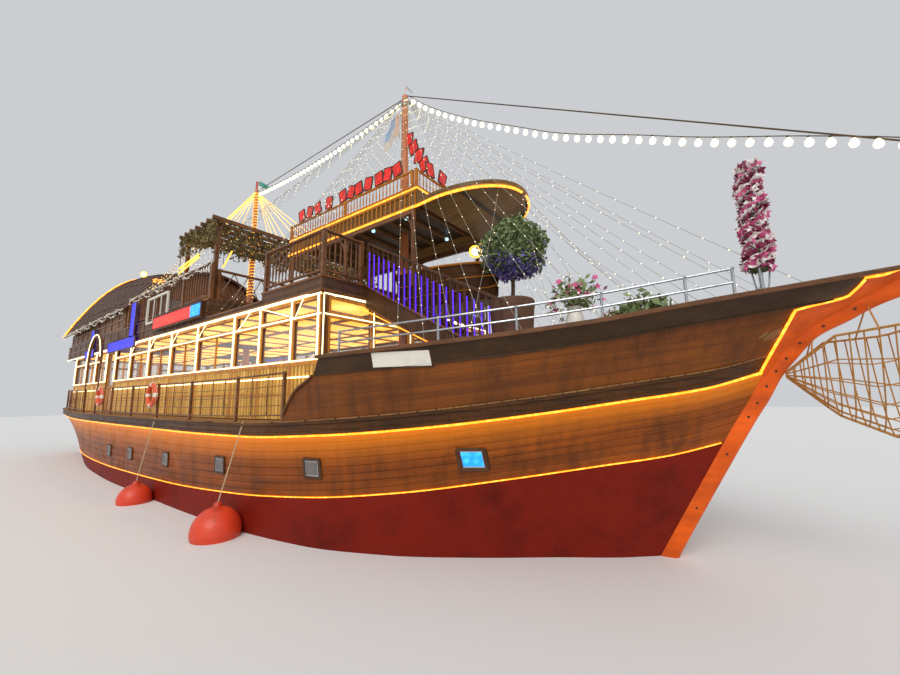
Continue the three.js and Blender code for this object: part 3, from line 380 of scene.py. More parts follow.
# %% Short names for nodes
def node(tree, kind, *values, **named):
    """A shader node. Lower-case names set its properties, the rest feed its inputs."""
    made = tree.nodes.new("ShaderNode" + kind)
    for key, value in named.items():
        if key[0].islower():
            setattr(made, key, value)
    inputs = [*enumerate(values), *((k.replace("_", " "), v) for k, v in named.items() if not k[0].islower())]
    for key, value in inputs:
        if isinstance(value, bpy.types.NodeSocket):
            tree.links.new(value, made.inputs[key])
        elif value is not None:
            made.inputs[key].default_value = value
    return made


def calc(tree, operation, *values):
    """One step of arithmetic."""
    return node(tree, "Math", *values, operation=operation).outputs[0]


def blend(tree, amount, first, second, how="MIX"):
    """Mixes two colours by amount."""
    made = node(tree, "Mix", data_type="RGBA", blend_type=how)
    for key, value in ((0, amount), (6, first), (7, second)):
        if isinstance(value, bpy.types.NodeSocket):
            tree.links.new(value, made.inputs[key])
        else:
            made.inputs[key].default_value = value
    return made.outputs[2]


def spread(tree, value, low, high, to_low=0.0, to_high=1.0):
    """Stretches a value's range from low..high to to_low..to_high."""
    return node(tree, "MapRange", value, low, high, to_low, to_high).outputs[0]


def rgb(hex_colour):
    """A colour written as in a paint chart, made linear for the shader."""
    c = array([int(hex_colour[i:i + 2], 16) for i in (0, 2, 4)]) / 255
    return (*where(c <= 0.04045, c / 12.92, ((c + 0.055) / 1.055) ** 2.4).tolist(), 1.0)


def coords(tree, which="Object"):
    """Where the shader stands: in the object's own metres or in its UV map."""
    return node(tree, "TexCoord").outputs[which]


def stretched(tree, vector, scale):
    """A vector with each axis scaled, so that a pattern runs longer one way."""
    return node(tree, "Mapping", Vector=vector, Scale=scale).outputs[0]


def noise(tree, vector, scale, **settings):
    """Cloudy noise read at a vector."""
    return node(tree, "TexNoise", Vector=vector, Scale=scale, **settings).outputs[0]


def times(tree, first, second):
    """The product of two values."""
    return calc(tree, "MULTIPLY", first, second)


def bumps(tree, height, strength, distance):
    """Fine heights, in metres at most distance, read as relief."""
    return node(tree, "Bump", Height=height, Strength=strength, Distance=distance).outputs[0]


def feed(tree, shader, **sockets):
    """Links results to the shader's inputs of those names."""
    for label, socket in sockets.items():
        tree.links.new(socket, shader.inputs[label.replace("_", " ")])


def group(name, inputs, outputs):
    """An empty node group with named sockets; returns the tree, its inputs and a finish function."""
    tree = bpy.data.node_groups.new(name, "ShaderNodeTree")
    for kind, direction in ((inputs, "INPUT"), (outputs, "OUTPUT")):
        for label, sort in kind.items():
            tree.interface.new_socket(label, in_out=direction, socket_type="NodeSocket" + sort)
    source, sink = tree.nodes.new("NodeGroupInput"), tree.nodes.new("NodeGroupOutput")

    def finish(**results):
        """Links the results to the group's outputs."""
        for label, socket in results.items():
            tree.links.new(socket, sink.inputs[label.replace("_", " ")])
        return tree
    return tree, source.outputs, finish


# %% Node group: timber grain
tree, given, finish = group(
    "Timber grain", {"Vector": "Vector", "Fine": "Float", "Light": "Color", "Dark": "Color"},
    {"Color": "Color", "Height": "Float"})
fibre = noise(tree, given["Vector"], given["Fine"], Detail=6.0, Roughness=0.62, Distortion=0.4)
bands = noise(tree, given["Vector"], times(tree, given["Fine"], 0.23), Detail=3.0)
mixed = calc(tree, "ADD", times(tree, fibre, 0.6), times(tree, bands, 0.5))
share = spread(tree, mixed, 0.38, 0.74)
GRAIN = finish(Color=blend(tree, share, given["Dark"], given["Light"]), Height=fibre)

# %% Node group: plank seams
tree, given, finish = group(
    "Plank run", {"Along": "Float", "Across": "Float", "Width": "Float", "Length": "Float"},
    {"Seam": "Float", "Tone": "Float"})
row = calc(tree, "DIVIDE", given["Across"], given["Width"])
row_number = calc(tree, "FLOOR", row)
shift = node(tree, "TexWhiteNoise", W=row_number, noise_dimensions="1D").outputs[0]
length = calc(tree, "ADD", calc(tree, "DIVIDE", given["Along"], given["Length"]), shift)
plank_number = node(tree, "CombineXYZ", row_number, calc(tree, "FLOOR", length), 0.0).outputs[0]
tone = node(tree, "TexWhiteNoise", Vector=plank_number, noise_dimensions="2D").outputs[0]
side_gap = times(tree, calc(tree, "PINGPONG", row, 0.5), given["Width"])
end_gap = times(tree, calc(tree, "PINGPONG", length, 0.5), given["Length"])
seam = spread(tree, calc(tree, "MINIMUM", side_gap, end_gap), 0.003, 0.009, 1.0, 0.0)
PLANKS = finish(Seam=seam, Tone=tone)

# %% Node groups: rain streaks and worn patches
tree, given, finish = group("Rain streaks", {"Vector": "Vector"}, {"Mask": "Float"})
drip = noise(tree, stretched(tree, given["Vector"], (5.0, 5.0, 0.45)), 1.0, Detail=5.0, Roughness=0.6)
field = noise(tree, stretched(tree, given["Vector"], (1.1, 1.1, 0.3)), 1.0, Detail=2.0)
STREAKS = finish(Mask=spread(tree, calc(tree, "ADD", drip, times(tree, field, 0.6)), 0.72, 1.02))
tree, given, finish = group("Worn patches", {"Vector": "Vector", "Size": "Float"}, {"Mask": "Float"})
patch = noise(tree, given["Vector"], given["Size"], Detail=7.0, Roughness=0.66)
WEAR = finish(Mask=spread(tree, patch, 0.5, 0.72))


# %% [markdown]
# A material places the groups with its own values. Constants such as roughness or coat go on the
# shader's own sockets; only what changes over the surface comes from nodes.


# %% Building a material
def material(name, **constants):
    """A new material and its Principled shader, constants set on the shader's sockets."""
    made = bpy.data.materials.new(name)
    made.use_nodes = True
    shader = made.node_tree.nodes["Principled BSDF"]
    for key, value in constants.items():
        shader.inputs[key.replace("_", " ")].default_value = value
    return made, made.node_tree, shader


CAULK, SOOT, BLACK = (0.012, 0.008, 0.006, 1), (0.02, 0.012, 0.008, 1), (0, 0, 0, 1)


def timber(name, light, dark, stretch=(0.5, 7, 7), fine=1.0, rough=0.45, coat=0.15, planks=None,
        streaks=0.0, uv=False, seam=0.8, tone=0.35, bump=0.25, painted_rope_glow=None, lit=0.0):
    """Wood: grain along one axis and, if asked, toned planks between seams, streaks down the side, a
    painted amber glow of a light rope over a range of heights, and a painted glow of its own colour
    that stands in for the light of lamps close by.
    Planks say axis along, axis across ("round" follows walls both ways), width and length."""
    made, tree, shader = material(name, Coat_Weight=coat, Coat_Roughness=0.25,
        Specular_IOR_Level=0.22, Emission_Strength=lit)
    place, thing = coords(tree, "UV" if uv else "Object"), coords(tree)
    grain = node(tree, "Group", node_tree=GRAIN, Vector=stretched(tree, place, stretch),
        Fine=fine, Light=rgb(light), Dark=rgb(dark))
    colour, height = grain.outputs["Color"], grain.outputs["Height"]
    relief = times(tree, height, bump)
    if planks:
        lengthways, over, width, length = planks
        axes = node(tree, "SeparateXYZ", place).outputs
        over = calc(tree, "ADD", axes[0], axes[1]) if over == "round" else axes[over]
        run = node(tree, "Group", node_tree=PLANKS, Along=axes[lengthways], Across=over,
            Width=width, Length=length)
        colour = blend(tree, times(tree, run.outputs["Tone"], tone), colour, rgb(dark))
        colour = blend(tree, times(tree, run.outputs["Seam"], seam), colour, CAULK)
        relief = calc(tree, "SUBTRACT", relief, run.outputs["Seam"])
    if streaks:
        rain = node(tree, "Group", node_tree=STREAKS, Vector=thing).outputs[0]
        stain = blend(tree, 0.75, rgb(dark), SOOT)
        colour = blend(tree, times(tree, rain, streaks), colour, stain)
    # painted glow of the amber light rope: over the given range of heights the wood's colour is blended
    # towards amber and the wood glows amber itself, more strongly towards the top
    if painted_rope_glow:
        near = calc(tree, "POWER", spread(tree, axes[1], *painted_rope_glow), 1.6)
        colour = blend(tree, times(tree, near, 0.6), colour, rgb("F08A14"))
        feed(tree, shader, Emission_Color=blend(tree, near, BLACK, rgb("FF8A14")))
    # painted glow: the wood gives off a little light of its own colour, standing in for lamps close by
    elif lit:
        feed(tree, shader, Emission_Color=colour)
    worn = node(tree, "Group", node_tree=WEAR, Vector=thing, Size=2.2).outputs[0]
    feed(tree, shader, Base_Color=colour, Normal=bumps(tree, relief, 0.35, 0.004),
         Roughness=spread(tree, worn, 0.0, 1.0, rough, min(1.0, rough + 0.25)))
    return made


def plain(name, colour, second, size=3.0, rough=0.5, bump=0.1, metallic=0.0, coat=0.0, **constants):
    """Paint, metal, rope or leaf: two shades in soft patches, with a fine relief."""
    made, tree, shader = material(name, Metallic=metallic, Coat_Weight=coat, **constants)
    place = coords(tree)
    worn = node(tree, "Group", node_tree=WEAR, Vector=place, Size=size).outputs[0]
    fine = noise(tree, place, size * 14, Detail=4.0)
    feed(tree, shader, Base_Color=blend(tree, worn, rgb(colour), rgb(second)),
         Roughness=spread(tree, fine, 0.3, 0.7, max(0.03, rough - 0.08), rough + 0.08),
         Normal=bumps(tree, fine, bump, 0.003))
    return made


def glow(name, colour, deep, strength, pitch=12.0):
    """A lit strip or bulb: brighter cells in a row, each a small lamp behind a clear sleeve."""
    made, tree, shader = material(name, Roughness=0.3, Emission_Strength=strength)
    cells = node(tree, "TexVoronoi", Vector=coords(tree), Scale=pitch).outputs["Distance"]
    shade = blend(tree, spread(tree, cells, 0.1, 0.6), rgb(colour), rgb(deep))
    feed(tree, shader, Emission_Color=shade, Base_Color=shade)
    return made


# %% The boat's finishes
# how often the grain turns in a metre along x, y and z, then the planks each wood is laid in
LENGTHWAYS, UPRIGHT, STRAKE_RUN = (0.4, 6, 6), (7, 7, 0.5), (0.3, 4, 4)
STRAKE_WIDTH = 0.165
# the topside planking carries a painted amber glow of the light rope over its upper strakes, and it also
# glows a little in its own colour
topside_wood = timber("varnished topside planking", "B45A0E", "6A340A", STRAKE_RUN, 1.2, 0.42, 0.04,
    (0, 1, STRAKE_WIDTH, 5.5), 0.6, uv=True, seam=0.45, tone=0.25, painted_rope_glow=(0.62, 1.32), lit=0.3)
bulwark_wood = timber("bulwark planking", "9A5418", "5A300E", STRAKE_RUN, 1.2, 0.42, 0.04,
    (0, 1, 0.21, 4.8), 0.5, uv=True, seam=0.4, tone=0.25)
band_wood = timber("dark bulwark band", "4E3318", "30200F", LENGTHWAYS, 1.2, 0.42, 0.1, streaks=0.3)
wale_wood = timber("wale timber", "683E16", "3C220C", LENGTHWAYS, 1.2, 0.45, 0.08, (0, 2, 0.16, 6.0), 0.4)
# the stem and its cheeks glow a little in their own colour: a painted glow standing in for the light rope
# that runs along them
stem_wood = timber("stem timber", "E05C10", "A84208", (0.5, 4, 4), 1.3, 0.4, 0.06, streaks=0.25, lit=0.3)
deck_wood = timber("laid deck", "A97E52", "7A5633", (0.5, 9, 9), 1.3, 0.65, 0.0, (0, 1, 0.125, 4.2))
# the salon joinery glows a little in its own colour: a painted glow standing in for the salon's lamps
salon_wood = timber("salon joinery", "C8883A", "8A5420", (6, 6, 0.6), 1.3, 0.4, 0.1, lit=0.25)
board_wood = timber("upright boarding", "8E5C30", "5A381C", UPRIGHT, 1.2, 0.45, 0.15, (2, "round", 0.14, 3.0))
slat_wood = timber("lit slats", "E8BE62", "A06E28", UPRIGHT, 1.4, 0.4, 0.1, (2, "round", 0.145, 3.0),
    tone=0.75, lit=0.5)
dark_wood = timber("dark joinery", "5F3C22", "38210F", (5, 5, 1.2), 1.2, 0.42, 0.2)
fascia_wood = timber("deck edge boards", "735034", "4A301D", LENGTHWAYS, 1.2, 0.45, 0.15,
    (0, 2, 0.13, 3.6), 0.3)
rail_wood = timber("handrail wood", "8A5830", "52321A", (0.8, 5, 5), 1.4, 0.35, 0.3)
roof_wood = timber("roof boarding", "6A4030", "40261A", LENGTHWAYS, 1.2, 0.5, 0.1, (0, 1, 0.16, 3.2), 0.3)
cap_wood = timber("cap rail", "7A4E2A", "4A2D17", (0.5, 7, 7), 1.3, 0.38, 0.3)
spar_wood = timber("mast varnish", "D98A5A", "A05A34", (7, 7, 0.4), 1.2, 0.35, 0.2)
# rail wood painted as lit by amber light: a lighter, oranger copy of the handrail wood that also glows a
# little
rail_in_amber_light = timber("rail in amber light", "BC7420", "7C4612", (0.8, 5, 5), 1.4, 0.35, 0.1, lit=0.3)
canopy_wood = timber("canopy boards in lamp light", "8E6A34", "5C4220", LENGTHWAYS, 1.2, 0.45, 0.1,
    (0, 2, 0.13, 3.6), lit=0.12)
bottom_paint = plain("red bottom paint", "7A1A0A", "561206", 0.8, 0.6, 0.35, Specular_IOR_Level=0.15)
keel_paint = plain("red keel paint", "7A2415", "4A1810", 1.6, 0.68, 0.4)
steel = plain("stainless rail", "B9BCBE", "8F9498", 4.0, 0.25, 0.05, 1.0)
bronze = plain("cast bronze", "A9803F", "6E5228", 5.0, 0.35, 0.3, 1.0)
rope = plain("dark rope", "5A4A36", "382C20", 30.0, 0.9, 0.8)
pale_rope = plain("pale rope", "C9BB98", "94835F", 30.0, 0.9, 0.8)
net_rope = plain("net rope in amber light", "C08A42", "7A5628", 30.0, 0.9, 0.8)
clear_cord = plain("clear cord", "A8A290", "868070", 30.0, 0.5, 0.2)
blue_lacquer = plain("blue lacquer", "2438C8", "18268E", 3.0, 0.4, 0.1)
white_paint = plain("white paint", "E6E1D4", "C4BCA8", 2.5, 0.45, 0.15)
print("materials so far:", len(bpy.data.materials))

# %% Lights as finishes
warm_light = glow("amber light rope", "FFB03C", "FF8A1C", 2.6)
white_light = glow("warm white light rope", "FFF6D0", "FFEAA8", 3.0)
bulb_light = glow("festoon bulb", "FFFBE6", "FFF0B4", 2.6, 30.0)
tiny_light = glow("tiny string light", "E8E2CC", "BDB8A4", 0.7, 30.0)
blue_light = glow("blue light panel", "1414FF", "0606B0", 1.1, 14.0)
violet_light = glow("violet light", "6A38F0", "4A20D8", 1.1, 20.0)
gold_light = glow("gold light wrap", "FFD870", "FFB030", 2.0, 30.0)
ceiling_glow = glow("lit ceiling", "FFC860", "F0A02C", 2.4, 1.2)
sign_light = glow("blank red sign face", "FF3A22", "E01A0C", 1.3, 8.0)
cyan_light = glow("blank blue sign end", "38B8FF", "1888F0", 1.1, 8.0)
pale_lamp = glow("pale downlight", "F0FFFF", "A0ECFF", 1.6, 20.0)
plate_light = glow("blank red plate", "E02A1C", "B01810", 0.6, 8.0)
for fine_lamp in (bulb_light, tiny_light, gold_light):
    fine_lamp.cycles.emission_sampling = "NONE"

# %% [markdown]
# ## Hull
# A wooden hull is built of strakes that run from stem to stern. The half section is a smooth curve
# from keel to sheer; each strake bulges a few millimetres between two caulked seams, which catches
# the light in long lines. Bottom, topsides, wale and deck are separate pieces, because each has its
# own finish.


# %% Hull planking
def mirrored(half):
    """A half section (points last but one) and its mirror image run back beside it."""
    other = half[..., ::-1, :] * array([1.0, -1.0, 1.0])
    return concatenate([half, other], -2)


def hull_rows(t, inset=0.0):
    """Points of the half section at row numbers t, shape (stations, rows, 3)."""
    yz = np.moveaxis(through(half_section(ALONG), t), 0, 1)
    return np.stack([hull_x(ALONG[:, None], yz[..., 1]), yz[..., 0] - inset, yz[..., 1]], -1)


def surface_uv(rings):
    """Metres along the boat and metres of girth, for patterns that follow a side."""
    girth = np.cumsum(np.linalg.norm(np.diff(rings, axis=1, prepend=rings[:, :1]), axis=-1), 1)
    half = rings.shape[1] // 2
    girth[:, half:] = girth[:, :half][:, ::-1]
    return np.stack([rings[..., 0], girth], -1)


bottom = mirrored(hull_rows(linspace(0, 5, 36)))
hull = Piece().add(stack(bottom, paired=True), 0, surface_uv(bottom))
hull.make("hull_bottom", bottom_paint, "bottom_paint", "hull")

STRAKES = 8
k = arange(STRAKES)[:, None]
rows = concatenate([(k + array([0, 0.05, 0.5, 0.95])).ravel() / STRAKES, [1.0]])
inset = concatenate([np.tile([0.007, 0.0, -0.004, 0.0], STRAKES), [0.0]])
topsides = mirrored(hull_rows(5 + rows, inset))
uv = surface_uv(topsides)
uv[..., 1] = concatenate([rows, rows[::-1]]) * STRAKES * STRAKE_WIDTH
Piece().add(stack(topsides, paired=True), 0, uv).make("hull_topsides", topside_wood, "hull_wood", "hull")

# %% [markdown]
# The wale is a heavy band at deck height with a rubbing ledge along each edge. Its section is a
# short outline, set along the same stations. The deck lies on it as one slab of laid planks.

# %% Wale and main deck
out = WALE_OUT * minimum(1, ALONG / 0.02)
edge, low = at(ALONG, WALE), at(ALONG, SHEER)
# share of the wale's thickness outwards, height above its lower edge
WALE_OUTLINE = [[0.0, 0.0], [0.9, 0.012], [1.25, 0.03], [1.25, 0.075], [0.8, 0.09], [0.8, 0.2],
    [1.35, 0.215], [1.35, 0.262], [1.0, 0.272]]
DECK_OUTLINE = [[1.0, 0.273], [1.0, WALE_DEPTH]]
for name, outline, finish, slot in (("hull_wale", WALE_OUTLINE, wale_wood, "hull_wood"),
        ("main_deck", DECK_OUTLINE, deck_wood, "deck_wood")):
    share, up = np.transpose(outline)
    z = low[:, None] + up
    half = np.stack([hull_x(ALONG[:, None], z), edge[:, None] + out[:, None] * share, z], -1)
    Piece().add(stack(mirrored(half), paired=True)).make(name, finish, slot, "hull")

# %% [markdown]
# ## Stem and beak
# The stem is one long timber that sweeps up into a raised beak. Pairs of points on its front and
# back edge are joined by a section that narrows towards the cutwater, as an adzed timber does.

# %% Stem timber
# front z, x,     back z, x
STEM_ROWS = array([[-2.35, 11.8, -2.1, 11.5], [-1.8, 13.5, -1.75, 13.1], [-1.2, 14.28, -1.2, 14.0],
    [-0.6, 14.75, -0.6, 14.45], [0, 15.05, 0, 14.78], [1.33, 15.77, 1.33, 15.51],
    [2.37, 16.35, 2.37, 16.09], [2.7, 16.55, 2.7, 16.29], [3.07, 16.75, 3.07, 16.49],
    [3.32, 16.94, 3.36, 16.7], [3.66, 17.24, 3.66, 16.95], [3.86, 17.6, 4.1, 17.6],
    [4.06, 17.95, 4.35, 18.03], [4.25, 18.45, 4.7, 18.35], [4.5, 19.1, 4.86, 18.85],
    [4.8, 19.9, 5.11, 19.95], [4.96, 20.58, 5.24, 20.58]])
rows = through(STEM_ROWS, linspace(0, len(STEM_ROWS) - 1, 90))
front_z, front_x, back_z, back_x = (rows[:, i] for i in range(4))
taper = interp(front_x, [16, 18.5, 20.6], [1.0, 0.9, 0.62])
# share from back to front, half thickness
STEM_SECTION = [[0.0, 0.13], [0.25, 0.13], [0.62, 0.118], [0.9, 0.09], [1.0, 0.055]]
half = np.stack([np.stack([back_x + (front_x - back_x) * f, taper * w, back_z + (front_z - back_z) * f], -1)
    for f, w in STEM_SECTION], 1)
stem = Piece().add(stack(mirrored(half), paired=True))
stem.make("stem_timber", stem_wood, "stem_wood", "stem_beak")
plug, bolt = (half[26:64:4, 0] + half[26:64:4, -1]) / 2 * [1, 0, 1], array([0, 0.126, 0])
Piece().add(rods(pairs(plug - bolt, plug + bolt), 0.02, 10)).make("stem_bolts", dark_wood, "stem_wood")
cap_x = linspace(18.24, 20.56, 24)
cap_z = interp(cap_x, back_x[-30:], back_z[-30:])
cap = Piece().add(sweep(np.stack([cap_x, 0 * cap_x, cap_z - 0.012], -1), rounded(0.27, 0.05)))
cap.make("beak_cap", cap_wood, "stem_wood")

# %% [markdown]
# ## Bulwark
# The bow half of the deck edge carries a planked bulwark that ends aft in a curved scoop. It is a
# wall through the stations, flared outwards, with a dark band under its cap. The cap is a wide
# moulded rail, and two steel tubes stand on it.

# %% Bulwark planking
SCOOP = array([[0.2186, 3.54], [0.2192, 3.27], [0.2235, 3.13], [0.231, 2.97], [0.2366, 2.68],
    [0.2388, 2.48]])
FLARE, BULWARK_THICK, OFF_WALE = 0.08, 0.1, 0.02


def bulwark_half(s, z, top):
    """Half breadth of the bulwark's outer face: it leans out by FLARE over 1.3 m of height."""
    foot, wale = deck_z(s), at(s, WALE)
    out = wale + OFF_WALE + FLARE * (top - foot) / 1.3 * minimum(1, s / 0.05)
    return wale + OFF_WALE + (out - wale - OFF_WALE) * np.clip((z - foot) / (top - foot), 0, 1)


def on_bulwark(s, z, sign, outward=0.0):
    """A point on the bulwark's outer face, or outward of it."""
    s, z = asarray(s, float), asarray(z, float)
    return np.stack([hull_x(s, z), sign * (bulwark_half(s, z, at(s, CAP)) + outward), z], -1)


def inner_half(s, y, scale):
    """Half breadth y, but at least 2 cm and scale times s, so that the sides keep apart at the bow."""
    return maximum(y, 0.02 + s * scale)


fore_s = concatenate([linspace(0, 0.05, 26), linspace(0.055, 0.2186, 46)])
scoop_s = linspace(0.219, 0.2388, 22)
scoop_z = smooth(scoop_s, SCOOP[:, 0], SCOOP[:, 1])
wall_s = concatenate([fore_s, scoop_s])
wall_top = concatenate([at(fore_s, CAP), scoop_z])


def wall_rings(sign):
    """Rings of the bulwark: fifteen points up its outer face and back down the inner one."""
    foot = deck_z(wall_s)
    full_top = maximum(at(wall_s, CAP), wall_top)
    z = foot[:, None] + (wall_top - foot)[:, None] * linspace(0, 1, 15)
    y = bulwark_half(wall_s[:, None], z, full_top[:, None])
    x = hull_x(wall_s[:, None], z)
    outer = np.stack([x, sign * y, z], -1)
    inner = np.stack([x, sign * inner_half(wall_s[:, None], y - BULWARK_THICK, 2.0), z], -1)
    return concatenate([outer, inner[:, ::-1]], 1)


BAND = 0.3
for side, sign in SIDES:
    rings = wall_rings(sign)
    wall_uv = np.stack([rings[..., 0], rings[..., 2] - deck_z(wall_s)[:, None]], -1)
    planks = Piece().add(stack(rings, paired=True), 0, wall_uv)
    planks.make(f"bulwark_planks_{side}", bulwark_wood, "hull_wood", f"bulwark_{side}")
    # the dark band under the cap, a thin plank laid on the outside, with a bead along its foot
    z = at(fore_s, CAP)[:, None] + array([-BAND, -BAND + 0.02, -0.02, 0.0])
    face = on_bulwark(fore_s[:, None] + 0 * z, z, sign)
    lift = array([0.004, 0.016, 0.016, 0.016]) * minimum(1, fore_s / 0.01)[:, None]
    proud = face + array([0, sign, 0]) * lift[..., None]
    band = concatenate([proud, (face - array([0, sign * 0.004, 0]))[:, ::-1]], 1)
    bead_s = fore_s[fore_s > 0.0055]
    bead = on_bulwark(bead_s, at(bead_s, CAP) - BAND, sign, 0.012)
    trim = Piece().add(stack(band, paired=True)).add(rods(bead, 0.018))
    trim.make(f"bulwark_band_{side}", band_wood, "hull_wood")

# %% [markdown]
# The cap is six points round a plank, set across the wall at each station. The rail's posts and
# tubes stand over its middle line.

# %% Cap rail and bow rail
POSTS_S = array([0.205, 0.1474, 0.1133, 0.0827, 0.0576, 0.044])
run_s = linspace(0.205, 0.044, 70)


def rail_point(s, sign, up):
    """A point of the bow rail at station s, up above its foot on the cap."""
    crown = at(s, CAP)
    return np.stack([hull_x(s, crown), sign * (at(s, WALE) + 0.04), crown + 0.068 + up], -1)


for side, sign in SIDES:
    s = concatenate([fore_s, [0.2192]])
    crown = at(s, CAP)
    outer = at(s, WALE) + OFF_WALE + FLARE * minimum(1, s / 0.05) + 0.06
    inner = inner_half(s, outer - 0.24, 1.5)
    spots = [(outer, -0.002), (outer, 0.05), (outer - 0.02, 0.07),
        (inner + 0.02, 0.07), (inner, 0.05), (inner, -0.002)]
    rings = np.stack([np.stack([hull_x(s, crown), sign * y, crown + up], -1) for y, up in spots], 1)
    lip_y = sign * (bulwark_half(scoop_s, scoop_z, at(scoop_s, CAP)) - 0.04)
    lip = np.stack([hull_x(scoop_s, scoop_z), lip_y, scoop_z], -1)
    cap = Piece().add(stack(rings)).add(sweep(lip[1:], rounded(0.17, 0.045)))
    cap.make(f"cap_rail_{side}", cap_wood, "hull_wood", f"bulwark_{side}")
    foot = rail_point(POSTS_S, sign, 0.0)
    rail = Piece().add(rods(pairs(foot, rail_point(POSTS_S, sign, 0.4)), 0.022, 10))
    rail.add(rods(np.stack([rail_point(run_s, sign, 0.4), rail_point(run_s, sign, 0.19)]), 0.019, 10))
    rail.add(turned(foot, [[0.06, 0], [0.06, 0.008], [0.03, 0.018]], 12))
    knob = [[0.02, 0], [0.032, 0.012], [0.03, 0.03], [0.012, 0.042]]
    rail.add(turned(rail_point(POSTS_S, sign, 0.385), knob, 10))
    rail.make(f"bow_rail_{side}", steel, "steel", f"bulwark_{side}")

# %% [markdown]
# ## Raised foredeck
# Between the bulwarks the bow is decked a little under the cap. The deck follows the same stations
# on the wall's inner face, down to the main deck.

# %% Raised foredeck
RAISED_BACK, BELOW_CAP = 10.4, 0.33
deck_s = linspace(0.008, 0.2, 200)
deck_s = deck_s[hull_x(deck_s, at(deck_s, CAP) - BELOW_CAP) >= RAISED_BACK - 0.01][::4]


def foredeck_point(s, z):
    """A point of the raised foredeck's edge, 6 mm inside the wall's inner face."""
    y = inner_half(s, bulwark_half(s, z, at(s, CAP)) - BULWARK_THICK, 2.0) - 0.006
    return np.stack([hull_x(s, z), y, z], -1)


def raised_z(x):
    """Height of the raised foredeck at x."""
    level = at(deck_s, CAP) - BELOW_CAP
    return interp(-asarray(x, float), -hull_x(deck_s, level), level)


half = pairs(foredeck_point(deck_s, deck_z(deck_s)), foredeck_point(deck_s, at(deck_s, CAP) - BELOW_CAP))
foredeck = Piece().add(stack(mirrored(half), paired=True))
foredeck.make("foredeck_planks", deck_wood, "deck_wood", "raised_foredeck")

# %% [markdown]
# ## Cheeks and light ropes
# A board on each side of the stem covers the ends of the bow planking. An amber light rope runs
# under the wale from the transom's middle to the bow, climbs along that board and goes on under the
# beak. A thinner glowing tube along the boot line is a painted highlight, the planking's edge there
# catching amber light. Each is a small tube on points of the planking itself.

# %% Stem cheeks
# station, height: from the wale to the cap
CLIMB = array([[0.0016, 3.098], [0.0031, 3.4], [0.0056, 3.653], [0.015, 4.005], [0.0118, 4.065],
    [0.0078, 4.117], [0.0054, 4.153], [0.0048, 4.186], [0.0071, 4.287], [0.0092, 4.36],
    [0.0103, 4.383], [0.0085, 4.398], [0.0058, 4.42]])
rise = linspace(CLIMB[0, 1], 4.49, 50)
reach = interp(rise, np.r_[CLIMB[:, 1], 4.49], np.r_[CLIMB[:, 0], 0.0012])
share = linspace(0, 1, 7)
for side, sign in SIDES:
    on_stem = np.stack([hull_x(0 * rise, rise) + 0.05, np.full(rise.shape, sign * 0.131), rise], -1)[:, None]
    face, back = (concatenate([on_stem, on_bulwark(reach[:, None] * share, rise[:, None] + 0 * share,
        sign, out)], 1) for out in (0.02, -0.004))
    rings = concatenate([face, (back - [0, sign * 0.004, 0])[:, ::-1]], 1)
    Piece().add(stack(rings, paired=True)).make(f"stem_cheek_{side}", stem_wood, "stem_wood")

# %% Light ropes on the hull, and a painted highlight along the boot line
s = linspace(0.001, 0.999, 160)
for side, sign in SIDES:
    sheer, boot = at(s, SHEER), at(s, BOOT)
    sheer_line = np.stack([hull_x(s, sheer - 0.02), sign * (at(s, WALE) + 0.02), sheer - 0.012], -1)
    boot_y = at(s, LOAD) + (at(s, WALE) - at(s, LOAD)) * 0.35
    boot_line = np.stack([hull_x(s, boot), sign * (boot_y + 0.008), boot], -1)
    bow = on_bulwark(CLIMB[:, 0], CLIMB[:, 1], sign, 0.026)
    beak = array([[18.5, 0.145, 4.62], [19.1, 0.14, 4.78], [19.9, 0.125, 4.99], [20.5, 0.11, 5.14]])
    corner = [float(hull_x(1.0, sheer_line[-1, 2])) - 0.014, *sheer_line[-1, 1:]]
    lights = Piece().add(rods(vstack([sheer_line, [corner, np.multiply(corner, [1, 0, 1])]]), 0.022))
    lights.add(rods(vstack([sheer_line[:1], bow, beak * [1, sign, 1]]), 0.02))
    lights.make(f"hull_lights_{side}", warm_light)
    # the thin glowing tube along the boot line is no lamp: it is a painted highlight, the planking's edge
    # there catching amber light
    Piece().add(rods(boot_line, 0.011, 5)).make(f"boot_lights_{side}", warm_light)

# %% [markdown]
# ## Rails
# Every rail aboard is the same joinery: square posts with a small cap, a handrail, a foot rail and
# turned balusters between. One function builds a run from the points where its posts stand, and
# each rail of the frame is such a run with its own height and spacing.

# %% Rectangles and the balustrade
BOX_FACES = array([[0, 1, 2, 3], [7, 6, 5, 4], [0, 4, 5, 1], [1, 5, 6, 2], [2, 6, 7, 3], [3, 7, 4, 0]])


def rectangle(corner, first, second):
    """Corners of flat rectangles: a corner and its two edges."""
    c, u, w = (np.atleast_2d(asarray(a, float)) for a in (corner, first, second))
    return np.stack(np.broadcast_arrays(c, c + u, c + u + w, c + w), 1)


def slabs(corners, thickness):
    """Flat plates of one thickness on rectangles."""
    c = asarray(corners, float).reshape(-1, 4, 3)
    n = unit(cross(c[:, 1] - c[:, 0], c[:, 3] - c[:, 0]))[:, None] * thickness / 2
    return concatenate([c - n, c + n], 1).reshape(-1, 3), [copies(BOX_FACES, len(c), 8)]


def borders(corners, width, depth):
    """A bar on each edge of each rectangle."""
    c = asarray(corners, float).reshape(-1, 4, 3)
    return bars(c.reshape(-1, 3), np.roll(c, -1, 1).reshape(-1, 3), width, depth)


BALUSTER = [[0.015, 0], [0.022, 0.06], [0.013, 0.14], [0.024, 0.36], [0.018, 0.6], [0.012, 0.86],
    [0.02, 0.94], [0.014, 1]]
POST = [[1.0, 0], [1.0, 0.93], [1.22, 0.94], [1.22, 0.965], [0.95, 0.975], [0.5, 1.0]]


